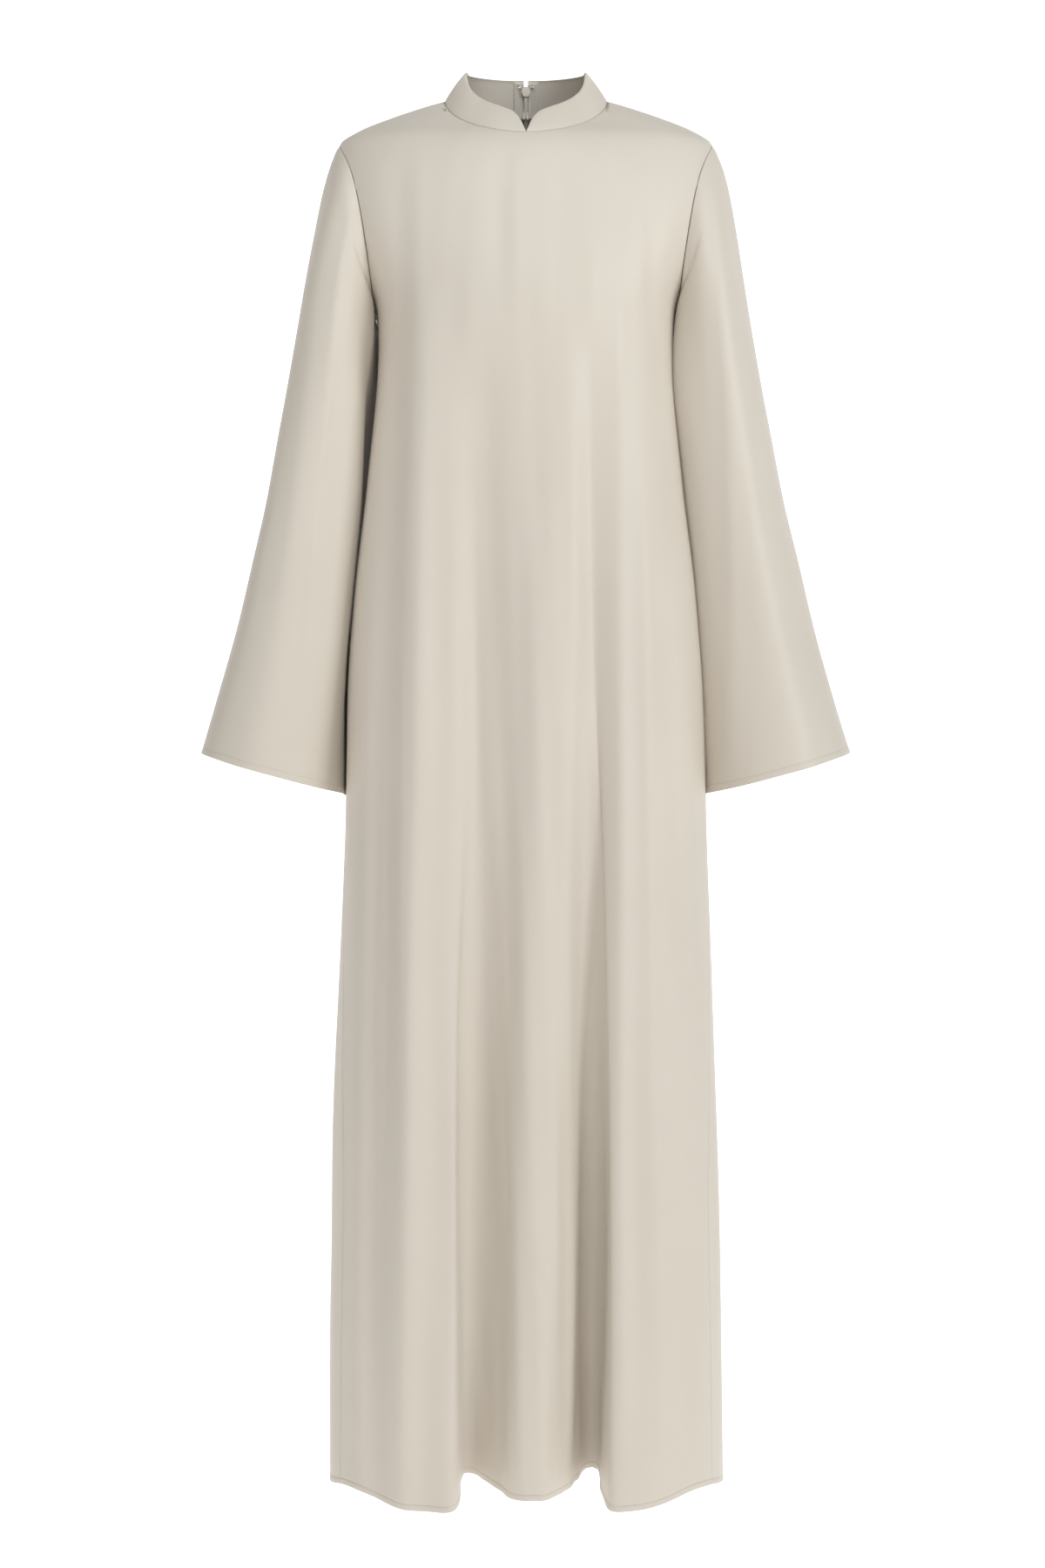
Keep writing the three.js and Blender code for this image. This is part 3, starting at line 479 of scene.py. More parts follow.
FRONT_CREASES = [
    dict(x_top=-102, z_top=-200, x_foot=-130, z_foot=-1560, right_width=46, left_width=17, out=16.5),
    dict(x_top=-134, z_top=-220, x_foot=-156, z_foot=-1560, right_width=14, left_width=18, out=-12.5),
    dict(x_top=-53, z_top=-260, x_foot=-39, z_foot=-1540, right_width=20, left_width=40, out=-21.5),
    dict(x_top=8, z_top=-420, x_foot=12, z_foot=-1540, right_width=26, left_width=26, out=7.4),
    dict(x_top=-17, z_top=-280, x_foot=-8, z_foot=-760, right_width=9, left_width=14, out=1.2),
    dict(x_top=70, z_top=-240, x_foot=75, z_foot=-1500, right_width=16, left_width=27, out=-25.0),
    dict(x_top=92, z_top=-220, x_foot=96, z_foot=-1520, right_width=34, left_width=13, out=12.5),
    dict(x_top=121, z_top=-300, x_foot=140, z_foot=-1520, right_width=18, left_width=9, out=3.2),
    dict(x_top=150, z_top=-280, x_foot=166, z_foot=-1400, right_width=12, left_width=16, out=-2.4),
    dict(x_top=-174, z_top=-500, x_foot=-182, z_foot=-1520, right_width=12, left_width=14, out=2.6),
    dict(x_top=-20, z_top=-870, x_foot=-18, z_foot=-970, right_width=4, left_width=7, out=-2.0),
    dict(x_top=20, z_top=-240, x_foot=14, z_foot=-520, right_width=14, left_width=18, out=-1.8),
    dict(x_top=-134, z_top=-62, x_foot=-128, z_foot=-280, right_width=9, left_width=12, out=-1.3),
    dict(x_top=-112, z_top=-60, x_foot=-106, z_foot=-330, right_width=11, left_width=9, out=1.1),
    dict(x_top=-30, z_top=-68, x_foot=-27, z_foot=-260, right_width=10, left_width=8, out=-0.9),
    dict(x_top=-8, z_top=-66, x_foot=-8, z_foot=-230, right_width=9, left_width=10, out=0.8),
    dict(x_top=32, z_top=-68, x_foot=33, z_foot=-270, right_width=8, left_width=10, out=-1.2),
    dict(x_top=70, z_top=-60, x_foot=66, z_foot=-300, right_width=14, left_width=10, out=1.2),
    dict(x_top=133, z_top=-62, x_foot=129, z_foot=-280, right_width=11, left_width=9, out=-2.0),
    dict(x_top=152, z_top=-150, x_foot=128, z_foot=-420, right_width=14, left_width=12, out=-1.8),
    dict(x_top=-152, z_top=-150, x_foot=-130, z_foot=-430, right_width=12, left_width=14, out=-2.0),
    dict(x_top=-123, z_top=-400, x_foot=-126, z_foot=-1240, right_width=4, left_width=4, out=0.9),
    dict(x_top=-74, z_top=-900, x_foot=-71, z_foot=-1560, right_width=4, left_width=5, out=1.1),
    dict(x_top=120, z_top=-360, x_foot=130, z_foot=-1180, right_width=5, left_width=4, out=0.9),
    dict(x_top=46, z_top=-1000, x_foot=44, z_foot=-1540, right_width=5, left_width=6, out=0.8),
]


def shaped(panel, table):
    """A panel's points with its creases, its unevenness, its seams and its hem."""
    points, ways, from_top, to_seam = panel
    above = points[..., 2] - points[-1:, :, 2]
    inland = 1 - np.exp(-((np.minimum(from_top, to_seam) / INLAND_WIDTH) ** 2))
    relief = ripple(points) * inland + creases(points, table) * inland
    relief = relief + seam_dip(from_top) + seam_dip(to_seam) + hem_form(above)
    return points + ways * relief[..., None], ways


def shell(name, points, ways, thick, wraps=False):
    """A closed thin shell: the outer points, and the same points moved inward."""
    rows, columns = points.shape[:2]
    inner = points - ways * thick
    index = np.arange(rows * columns).reshape(rows, columns)
    if wraps:
        index = np.concatenate((index, index[:, :1]), axis=1)
    a, b, c, d = index[:-1, :-1], index[1:, :-1], index[1:, 1:], index[:-1, 1:]
    outside = np.stack((a, b, c, d), axis=-1).reshape(-1, 4)
    below = rows * columns
    inside = np.stack((a, d, c, b), axis=-1).reshape(-1, 4) + below
    top, foot = index[0], index[-1]
    rims = [
        np.stack((top[:-1], top[1:], top[1:] + below, top[:-1] + below), axis=-1),
        np.stack((foot[1:], foot[:-1], foot[:-1] + below, foot[1:] + below), axis=-1),
    ]
    if not wraps:
        near, far = index[:, 0], index[:, -1]
        rims.append(np.stack((near[1:], near[:-1], near[:-1] + below, near[1:] + below), axis=-1))
        rims.append(np.stack((far[:-1], far[1:], far[1:] + below, far[:-1] + below), axis=-1))
    faces = np.concatenate([outside, inside, *rims])
    vertices = np.concatenate((points.reshape(-1, 3), inner.reshape(-1, 3))) * MM
    mesh = bpy.data.meshes.new(name)
    mesh.from_pydata(vertices.tolist(), [], faces.tolist())
    mesh.validate()
    work = bmesh.new()
    work.from_mesh(mesh)
    bmesh.ops.recalc_face_normals(work, faces=work.faces)
    work.to_mesh(mesh)
    work.free()
    mesh.polygons.foreach_set("use_smooth", [True] * len(mesh.polygons))
    return new_object(name, mesh)


class Value:
    """A number in a shader: sums on it add Math nodes."""

    def __init__(self, paint, socket):
        self.paint = paint
        self.socket = socket

    def _math(self, operation, first, second):
        return self.paint.add("ShaderNodeMath", {"operation": operation}, [first, second])

    def __add__(self, other):
        return self._math("ADD", self, other)

    __radd__ = __add__

    def __mul__(self, other):
        return self._math("MULTIPLY", self, other)

    __rmul__ = __mul__


class Paint:
    """A material built from nodes."""

    def __init__(self, name):
        self.material = bpy.data.materials.new(name)
        self.material.use_nodes = True
        self.tree = self.material.node_tree
        self.shader = self.tree.nodes["Principled BSDF"]

    def add(self, kind, settings=None, inputs=(), output=0):
        node = self.tree.nodes.new(kind)
        for key, setting in (settings or {}).items():
            setattr(node, key, setting)
        pairs = inputs.items() if isinstance(inputs, dict) else enumerate(inputs)
        for key, given in pairs:
            self.feed(node.inputs[key], given)
        return Value(self, node.outputs[output])

    def blend(self, factor, dark, light):
        colours = {"Factor": factor, "A": (*dark, 1), "B": (*light, 1)}
        return self.add("ShaderNodeMix", {"data_type": "RGBA"}, colours, output=2)

    def feed(self, socket, given):
        if isinstance(given, Value):
            self.tree.links.new(given.socket, socket)
        else:
            socket.default_value = given

    def set(self, **sockets):
        for key, given in sockets.items():
            self.feed(self.shader.inputs[key.replace("_", " ")], given)


def shade(tint, by):
    return tuple(channel * share for channel, share in zip(tint, by))


# Stone-beige crepe: a crinkled, high-twist plain weave, matt with a faint satin bloom. Its grain is near
# half a millimetre, its crinkle is drawn out along the fall of the cloth, and clouds a hand wide vary its
# tone.
CREPE_TINT = (0.645, 0.582, 0.496)
GRAIN_SCALE = 1700.0
CRINKLE_SCALE = 900.0
CRINKLE_DRAWN_OUT = 0.22
CLOUD_SCALE = 9.0
TONE_BY_GRAIN = 0.6
TONE_BY_CLOUD = 0.4
CREPE_ROUGHNESS = 0.45
ROUGHNESS_BY_GRAIN = 0.12
CREPE_DARK = (0.93, 0.925, 0.915)
CREPE_LIGHT = (1.06, 1.06, 1.065)


def crepe_paint(name, tint):
    paint = Paint(name)
    place = paint.add("ShaderNodeTexCoord", output="Object")
    grain = paint.add(
        "ShaderNodeTexNoise",
        inputs={"Vector": place, "Scale": GRAIN_SCALE, "Detail": 2.0, "Roughness": 0.6},
    )
    drawn_out = (1.0, 1.0, CRINKLE_DRAWN_OUT)
    long_place = paint.add("ShaderNodeMapping", inputs={"Vector": place, "Scale": drawn_out})
    crinkle = paint.add(
        "ShaderNodeTexNoise",
        inputs={"Vector": long_place, "Scale": CRINKLE_SCALE, "Detail": 2.0, "Roughness": 0.5},
    )
    cloud = paint.add("ShaderNodeTexNoise", inputs={"Vector": place, "Scale": CLOUD_SCALE, "Detail": 2.0})
    tone = grain * TONE_BY_GRAIN + cloud * TONE_BY_CLOUD
    mix = paint.blend(tone, shade(tint, CREPE_DARK), shade(tint, CREPE_LIGHT))
    bump = paint.add(
        "ShaderNodeBump",
        inputs={"Strength": 0.35, "Distance": 0.00025, "Height": grain * 0.5 + crinkle * 0.5},
    )
    paint.set(Base_Color=mix, Roughness=grain * ROUGHNESS_BY_GRAIN + CREPE_ROUGHNESS, Normal=bump)
    paint.set(Specular_IOR_Level=0.42, Sheen_Weight=0.12, Sheen_Roughness=0.5)
    return paint.material


crepe = crepe_paint("crepe", CREPE_TINT)


def cloth_piece(name, points, ways, thick, wraps=False):
    piece = shell(name + "_cloth", points, ways, thick, wraps)
    piece.data.materials.append(crepe)
    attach(piece, "garment")
    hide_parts(name)
    return piece


front_halves = {hand: shaped(half_panel(-1, hand), FRONT_CREASES) for hand in (1, -1)}
front_points = np.concatenate((front_halves[-1][0][:, :0:-1], front_halves[1][0]), axis=1)
front_ways = np.concatenate((front_halves[-1][1][:, :0:-1], front_halves[1][1]), axis=1)
front = cloth_piece("front", front_points, front_ways, SHELL)


# The back: two A-line half panels of the same crepe, joined by the centre back seam that holds the zip. Its
# folds hang from the shoulder blades and differ from side to side.
BACK_CREASES = [
    dict(x_top=-96, z_top=-120, x_foot=-104, z_foot=-1300, right_width=20, left_width=34, out=3.2),
    dict(x_top=104, z_top=-150, x_foot=120, z_foot=-1380, right_width=30, left_width=20, out=3.6),
    dict(x_top=-44, z_top=-260, x_foot=-36, z_foot=-1100, right_width=18, left_width=22, out=-2.6),
    dict(x_top=52, z_top=-300, x_foot=44, z_foot=-1250, right_width=22, left_width=18, out=-2.9),
    dict(x_top=-140, z_top=-200, x_foot=-152, z_foot=-900, right_width=14, left_width=18, out=-2.2),
    dict(x_top=142, z_top=-190, x_foot=150, z_foot=-1000, right_width=16, left_width=14, out=-2.0),
    dict(x_top=-70, z_top=-60, x_foot=-66, z_foot=-260, right_width=12, left_width=10, out=1.3),
    dict(x_top=74, z_top=-60, x_foot=70, z_foot=-240, right_width=10, left_width=12, out=1.1),
    dict(x_top=-18, z_top=-700, x_foot=-22, z_foot=-1476, right_width=16, left_width=12, out=2.2),
    dict(x_top=20, z_top=-760, x_foot=24, z_foot=-1476, right_width=12, left_width=16, out=2.0),
]
back_grids = {}
for name, hand in (("back_left", 1), ("back_right", -1)):
    back_grids[hand] = shaped(half_panel(1, hand), BACK_CREASES)
    back = cloth_piece(name, *back_grids[hand], SHELL)

# The sleeves: one bell-shaped panel each, closed by a seam under the arm and set into the armhole, with
# soft ridges down the front and a turned cuff. Each ring below runs from a point on the sleeve's outer line
# to a height on its inner line, and bulges forward and back between them.
SLEEVE_RINGS = [
    dict(along=0, outer_x=199, outer_z=-48, inner_z=-232, forward=46, back=56),
    dict(along=0.04, outer_x=206, outer_z=-62, inner_z=-238, forward=52, back=60),
    dict(along=0.12, outer_x=215.5, outer_z=-95, inner_z=-252, forward=59, back=64),
    dict(along=0.2, outer_x=225, outer_z=-146, inner_z=-276, forward=64, back=67),
    dict(along=0.3, outer_x=236, outer_z=-214, inner_z=-322, forward=67, back=69),
    dict(along=0.4, outer_x=249.3, outer_z=-290, inner_z=-372, forward=68, back=69),
    dict(along=0.5, outer_x=262.5, outer_z=-360, inner_z=-424, forward=69, back=68),
    dict(along=0.6, outer_x=275.5, outer_z=-430, inner_z=-480, forward=70, back=67),
    dict(along=0.7, outer_x=290, outer_z=-492, inner_z=-540, forward=71, back=66),
    dict(along=0.8, outer_x=307, outer_z=-565, inner_z=-604, forward=72, back=66),
    dict(along=0.9, outer_x=326, outer_z=-632, inner_z=-672, forward=73, back=66),
    dict(along=1, outer_x=345.5, outer_z=-695, inner_z=-742, forward=74, back=66),
]
# How far the sleeve stands off the body, from the share CLEAR_BY of its length on, and off the armhole.
SLEEVE_CLEAR = 3
CLEAR_BY = 0.02
ARMHOLE_GAP = 0.4
# How far its inner side is tucked behind the body, and between which shares of its length that grows.
SLEEVE_TUCK = 58
TUCK_POWER = 4
TUCK_FROM = 0.01
TUCK_FULL = 0.14
CUFF_DIP = 3
CUFF_DIP_POWER = 4
ARMHOLE_FADE = 0.3
# The ridges that both sleeves have. turn is in degrees round the sleeve: 0 on the outer line, 90 in front and
# 180 on the inner side. A ridge or crease grows over RIDGE_RISE from its start, and fades round its end.
RIDGE_RISE = 0.25
RIDGE_FALL_BEFORE = 0.1
RIDGE_FALL_BEYOND = 0.2
SLEEVE_RIDGES = [
    dict(turn=72, drift=0, width=16, out=5, start=0.08, end=1),
    dict(turn=128, drift=0, width=18, out=9, start=0.12, end=0.85),
    dict(turn=262, drift=0, width=20, out=6, start=0.1, end=1),
]
# Each arm's own ridges and creases, where 1 is the wearer's left and -1 the right. Each drifts round the
# sleeve by so many degrees on its way down.
SLEEVE_CREASES = {
    1: [
        dict(turn=50, drift=75, width=9, out=2.0, start=0.1, end=1),
        dict(turn=140, drift=8, width=24, out=8.0, start=0.1, end=1),
        dict(turn=106, drift=20, width=12, out=-1.4, start=0.12, end=0.95),
        dict(turn=128, drift=10, width=8, out=-1.2, start=0.14, end=0.6),
        dict(turn=236, drift=-8, width=14, out=-3.0, start=0.1, end=0.9),
        dict(turn=300, drift=-12, width=15, out=-2.4, start=0.2, end=1),
    ],
    -1: [
        dict(turn=69, drift=38, width=5, out=1.7, start=0.06, end=0.75),
        dict(turn=42, drift=0, width=22, out=9.0, start=0.06, end=1),
        dict(turn=58, drift=30, width=7, out=-1.2, start=0.1, end=0.7),
        dict(turn=104, drift=90, width=16, out=-9.5, start=0.1, end=0.78),
        dict(turn=84, drift=14, width=12, out=-1.6, start=0.35, end=1),
        dict(turn=228, drift=8, width=16, out=-2.6, start=0.15, end=1),
        dict(turn=306, drift=-10, width=13, out=-2.8, start=0.1, end=0.8),
    ],
}
SLEEVE_WAVES = [
    dict(out=0.5, around=5, down=7, hand_shift=1, shift=0),
    dict(out=0.35, around=9, down=-11, hand_shift=0, shift=2),
]
SLEEVE_INLAND_WIDTH = 25
INNER_SIDE_TURN = 180
INNER_SIDE_WIDTH = 32
INNER_SIDE_CALM = 0.85
SLEEVE_SPANS = 56
RING_STOPS = np.concatenate(([0, 0.002, 0.005, 0.009, 0.015, 0.023], np.linspace(0.033, 0.972, 66)))
# The length that is taken for the whole sleeve where distances from the cuff's edge are worked out.
SLEEVE_LENGTH = 560
CUFF_STOPS = 1 - np.array(HEM_STOPS) / SLEEVE_LENGTH
ring_curves = {
    column: curve_of(SLEEVE_RINGS, "along", column)
    for column in ("outer_x", "outer_z", "inner_z", "forward", "back")
}


def smooth_step(value, low, high):
    share = np.clip((value - low) / (high - low), 0, 1)
    return share * share * (3 - 2 * share)


def ridge_sum(table, degrees, along):
    """The relief of a table of sleeve ridges or creases."""
    total = 0
    for row in table:
        middle = row["turn"] + row["drift"] * along
        across = np.exp(-(((degrees - middle) / row["width"]) ** 2))
        rise = smooth_step(along, row["start"], row["start"] + RIDGE_RISE)
        fall = 1 - smooth_step(along, row["end"] - RIDGE_FALL_BEFORE, row["end"] + RIDGE_FALL_BEYOND)
        total = total + row["out"] * across * rise * fall
    return total


def sleeve_ring(along, turn):
    """A ring of the sleeve without the armhole's own shape."""
    rings = {column: float(curve(along)) for column, curve in ring_curves.items()}
    clear = SLEEVE_CLEAR * min(along / CLEAR_BY, 1)
    outer = np.array([rings["outer_x"], 0, rings["outer_z"]])
    tuck = SLEEVE_TUCK * smooth_step(along, TUCK_FROM, TUCK_FULL)
    square = float(square_at(rings["inner_z"]))
    behind = (1 - (tuck / float(back_at(rings["inner_z"]))) ** square) ** (1 / square)
    inner = np.array([float(half_width_at(rings["inner_z"])) * behind + clear, 0, rings["inner_z"]])
    half = (outer - inner) / 2
    ring = inner + half + half * np.cos(turn)[:, None]
    sweep = np.sin(turn)
    ring[:, 1] = -sweep * np.where(sweep > 0, rings["forward"], rings["back"])
    ring[:, 1] += tuck * ((1 - np.cos(turn)) / 2) ** TUCK_POWER
    ring[:, 2] -= CUFF_DIP * np.abs(sweep) * along**CUFF_DIP_POWER
    lift = ridge_sum(SLEEVE_RIDGES, np.degrees(turn), along)
    return ring + np.stack([np.cos(turn), -sweep, 0 * turn], axis=1) * lift[:, None]


def clear_of_figure(points, clear):
    """The same points moved out from the body of the garment until they stand clear of it."""
    x, y, z = np.moveaxis(points, -1, 0)
    reach = np.where(y < 0, forward_at(z), back_at(z))
    square = square_at(z)
    share = (np.abs(x / half_width_at(z)) ** square + np.abs(y / reach) ** square) ** (1 / square)
    grow = np.maximum((1 + clear / np.hypot(x, y)) / share, 1)
    return points * np.stack([grow, grow, np.ones_like(grow)], axis=-1)


def armhole_loop():
    """The armhole, from the shoulder tip over the front to the underarm and up the back, and at each point
    the way past the panel's edge, in line with its cloth."""
    share = np.linspace(0, 1, DENSE + 1)
    arm_z = SHOULDER_TIP_Z + (UNDERARM_Z - SHOULDER_TIP_Z) * share
    halves = []
    for side in (-1, 1):
        arm = on_figure(armhole_at(arm_z), arm_z, side)
        line = points_along(arm, np.linspace(0, travel(arm)[-1], SLEEVE_SPANS + 1))
        halves.append((line, out_of_figure(line, side)))
    points = np.concatenate((halves[0][0], halves[1][0][-2:0:-1]))
    outs = np.concatenate((halves[0][1], halves[1][1][-2:0:-1]))
    along = np.roll(points, -1, axis=0) - np.roll(points, 1, axis=0)
    return points, unit(np.cross(outs, along))


def sleeve_grid(hand):
    loop, beyond = armhole_loop()
    turn = 2 * np.pi * np.arange(len(loop)) / len(loop)
    own = loop - sleeve_ring(0, turn)
    stops = np.concatenate((RING_STOPS, CUFF_STOPS))
    rings = []
    for along in stops:
        fade = max(1 - along / ARMHOLE_FADE, 0) ** 2
        ring = sleeve_ring(along, turn) + own * fade + beyond * ARMHOLE_GAP * fade
        if along > 0:
            ring = clear_of_figure(ring, SLEEVE_CLEAR * min(along / CLEAR_BY, 1))
        rings.append(ring)
    points = np.array(rings)
    ways = grid_ways(points, wraps=True)
    lean = np.maximum((ways[0] * beyond).sum(axis=1, keepdims=True), 0)
    ways[0] = unit(ways[0] - beyond * lean)
    from_top = down_from_top(points)
    along = stops[:, None]
    to_cuff = (1 - along) * SLEEVE_LENGTH
    degrees = np.degrees(turn)[None, :]
    near = 1 - np.exp(-((from_top / SLEEVE_INLAND_WIDTH) ** 2))
    relief = ridge_sum(SLEEVE_CREASES[hand], degrees, along) * near
    waves = 0
    for row in SLEEVE_WAVES:
        shift = row["hand_shift"] * hand + row["shift"]
        waves = waves + row["out"] * np.sin(row["around"] * turn[None] + row["down"] * along + shift)
    # Little stands out on the inner side, which hangs just clear of the body.
    inner_side = np.exp(-(((degrees - INNER_SIDE_TURN) / INNER_SIDE_WIDTH) ** 2))
    relief = (relief + waves * near) * (1 - INNER_SIDE_CALM * inner_side)
    relief = relief + seam_dip(from_top) + hem_form(to_cuff)
    points = points + ways * relief[..., None]
    return points * (hand, 1, 1), ways * (hand, 1, 1)


sleeve_grids = {}
for name, hand in (("sleeve_left", 1), ("sleeve_right", -1)):
    sleeve_grids[hand] = sleeve_grid(hand)
    sleeve = cloth_piece(name, *sleeve_grids[hand], SHELL, wraps=True)

# The collar: a stand in two halves of doubled, interfaced crepe. Each rises from a point at the centre
# front in a petal curve, leans in to the neck, and ends at the zip.
COLLAR_THICK = 2.2
# Its height by the distance along the neckline from the centre front, and how far it leans in, in degrees,
# from the centre front at turn 0 to the centre back at 180.
COLLAR_HEIGHT = [
    dict(distance=0, height=1.5),
    dict(distance=1, height=3.5),
    dict(distance=5, height=15),
    dict(distance=11.5, height=26),
    dict(distance=20, height=32),
    dict(distance=45, height=36),
    dict(distance=110, height=38),
    dict(distance=200, height=39.5),
    dict(distance=260, height=40),
]
COLLAR_LEAN = [
    dict(turn=0, lean=33),
    dict(turn=45, lean=34),
    dict(turn=90, lean=36),
    dict(turn=135, lean=24),
    dict(turn=180, lean=12),
]
# The ends at the zip stand this far apart. Over the top share of its height each end slopes away from the
# zip, a change that dies down within a few millimetres.
COLLAR_END_GAP = 4.4
COLLAR_END_SLOPE = 2.1
COLLAR_SLOPE_FROM = 0.85
COLLAR_SLOPE_OVER = 0.15
COLLAR_SLOPE_REACH = 2.5
# Its rolled edges, and the slight swell and waves of the interfaced cloth between them.
COLLAR_EDGE_ROLL = 0.5
COLLAR_EDGE_WIDTH = 0.9
COLLAR_BELLY = 0.9
COLLAR_FULL_HEIGHT = 38
COLLAR_SEAM_SHARE = 0.8
COLLAR_WAVES = [
    dict(out=0.25, length=17, hand_shift=1),
    dict(out=0.18, length=8.3, hand_shift=2),
]
COLLAR_COLUMNS = 84
COLLAR_ROWS = np.array([0, 0.02, 0.045, 0.09, 0.2, 0.35, 0.5, 0.65, 0.8, 0.9, 0.96, 0.99, 1])
PETAL_STOPS = (0.4, 0.8, 1.4, 2.2, 3.2, 4.4, 6, 8, 10.5, 13.5, 17)
EVEN_FROM = 21
ZIP_END_STOPS = (3, 2, 1, 0.4, 0)
NECKLINE_SPANS = 60
collar_height_at = curve_of(COLLAR_HEIGHT, "distance", "height")
collar_lean_at = curve_of(COLLAR_LEAN, "turn", "lean")
neckline_halves = [
    top_edge(side, neck_count=NECKLINE_SPANS, shoulder_count=1, arm_count=1)[: NECKLINE_SPANS + 1]
    for side in (-1, 1)
]
neckline = np.concatenate((neckline_halves[0], neckline_halves[1][-2::-1]))
NECK_FRONT_REACH = -neckline[0, 1]
NECK_BACK_REACH = neckline[-1, 1]


def collar_rise(base):
    """The way up the collar from points on the neckline."""
    x, y, _ = np.moveaxis(base, -1, 0)
    reach = np.where(y < 0, NECK_FRONT_REACH, NECK_BACK_REACH)
    turn = np.degrees(np.arctan2(np.abs(x) / NECK_HALF_WIDTH, -y / reach))
    lean = np.radians(collar_lean_at(turn))
    inward = unit(np.stack([-x / NECK_HALF_WIDTH**2, -y / reach**2], axis=-1))
    return np.concatenate((inward * np.sin(lean)[..., None], np.cos(lean)[..., None]), axis=-1)


def collar_grid(hand):
    length = travel(neckline)[-1]
    end = length - COLLAR_END_GAP / 2
    even = np.linspace(EVEN_FROM, end - ZIP_END_STOPS[0], COLLAR_COLUMNS)
    stops = np.concatenate((PETAL_STOPS, even, end - np.array(ZIP_END_STOPS[1:])))
    base = points_along(neckline, stops)
    rise = collar_rise(base)
    height = collar_height_at(stops)
    points = base + rise * (height * COLLAR_ROWS[:, None] + SEAM_GAP / 2)[..., None]
    slope = np.clip((COLLAR_ROWS - COLLAR_SLOPE_FROM) / COLLAR_SLOPE_OVER, 0, 1)
    near_end = np.exp(-((end - stops) / COLLAR_SLOPE_REACH))
    points[..., 0] += COLLAR_END_SLOPE * slope[:, None] * near_end
    points *= (hand, 1, 1)
    ways = grid_ways(points) * hand
    up = COLLAR_ROWS[:, None] * height[None]
    waves = sum(
        row["out"] * np.sin(stops / row["length"] + row["hand_shift"] * hand) for row in COLLAR_WAVES
    )
    edge = -COLLAR_EDGE_ROLL * np.exp(-(((height[None] - up) / COLLAR_EDGE_WIDTH) ** 2))
    ends = -COLLAR_EDGE_ROLL * np.exp(-(((end - stops) / COLLAR_EDGE_WIDTH) ** 2))
    middle = np.sin(np.pi * COLLAR_ROWS)[:, None] * np.minimum(height / COLLAR_FULL_HEIGHT, 1)
    dip = seam_dip(up) * COLLAR_SEAM_SHARE
    relief = waves * middle + edge + ends[None] + COLLAR_BELLY * middle + dip
    return points + ways * relief[..., None], ways


collar_grids = {}
for name, hand in (("collar_left", 1), ("collar_right", -1)):
    collar_grids[hand] = collar_grid(hand)
    collar = cloth_piece(name, *collar_grids[hand], COLLAR_THICK)

# The sewing: short stitches of thread close to the cloth's own colour, along the hem, the cuffs and the
# front's neckline. Each stitch is a small rounded bar that lies on the cloth, and points the way that the
# line takes from STITCH_AIM before it to STITCH_AIM beyond.
STITCH_LENGTH = 2.3
STITCH_PITCH = 3.1
THREAD_RADIUS = 0.2
THREAD_TINT = (0.6, 0.55, 0.48)
STITCH_AIM = 0.5
HEM_STITCH_LIFT = 0.06
NECK_STITCH_LIFT = 0.02
NECK_STITCH_ROW = 2
# A bar's rings: how far along its length, and what share of its full thickness.
BEAD_RINGS = ((-0.5, 0.35), (-0.3, 0.95), (0.3, 0.95), (0.5, 0.35))
BEAD_SIDES = 6


def beads(places, alongs, outs, length, width, height):
    """Small rounded bars, one at each place, as points and faces. Sizes are whole lengths."""
    sides = np.cross(alongs, outs)
    turn = 2 * np.pi * np.arange(BEAD_SIDES) / BEAD_SIDES
    rings = []
    for along, swell in BEAD_RINGS:
        across = np.cos(turn)[None, :, None] * sides[:, None] * width / 2
        up = np.sin(turn)[None, :, None] * outs[:, None] * height / 2
        rings.append((places + alongs * along * length)[:, None] + (across + up) * swell)
    points = np.stack(rings, axis=1).reshape(-1, 3)
    ring_count = len(BEAD_RINGS)
    faces = []
    for ring in range(ring_count - 1):
        for i in range(BEAD_SIDES):
            a = ring * BEAD_SIDES + i
            b = ring * BEAD_SIDES + (i + 1) % BEAD_SIDES
            faces.append((a, b, b + BEAD_SIDES, a + BEAD_SIDES))
    first = [tuple(range(BEAD_SIDES))[::-1]]
    last = [tuple(range((ring_count - 1) * BEAD_SIDES, ring_count * BEAD_SIDES))]
    stride = ring_count * BEAD_SIDES
    every = []
    for bead in range(len(places)):
        every.extend(tuple(bead * stride + corner for corner in face) for face in faces + first + last)
    return points, every


def joined_piece(name, parts, paint):
    """One object from several lots of points and faces, riding on the garment."""
    points, faces, below = [], [], 0
    for part_points, part_faces in parts:
        points.append(part_points)
        faces.extend(tuple(corner + below for corner in face) for face in part_faces)
        below += len(part_points)
    mesh = bpy.data.meshes.new(name)
    mesh.from_pydata((np.concatenate(points) * MM).tolist(), [], faces)
    mesh.polygons.foreach_set("use_smooth", [True] * len(faces))
    mesh.materials.append(paint)
    piece = new_object(name, mesh)
    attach(piece, "garment")


def stitches(line, outs, lift):
    """Stitches along a line of points on the cloth."""
    far = travel(line)
    at = np.arange(STITCH_PITCH, far[-1] - STITCH_PITCH / 2, STITCH_PITCH)
    places = points_along(line, at)
    ways = unit(points_along(line, at + STITCH_AIM) - points_along(line, at - STITCH_AIM))
    out = read_at(at, far, outs)
    out = unit(out - ways * (out * ways).sum(axis=1, keepdims=True))
    return beads(places + out * lift, ways, out, STITCH_LENGTH, 2 * THREAD_RADIUS, 2 * THREAD_RADIUS)


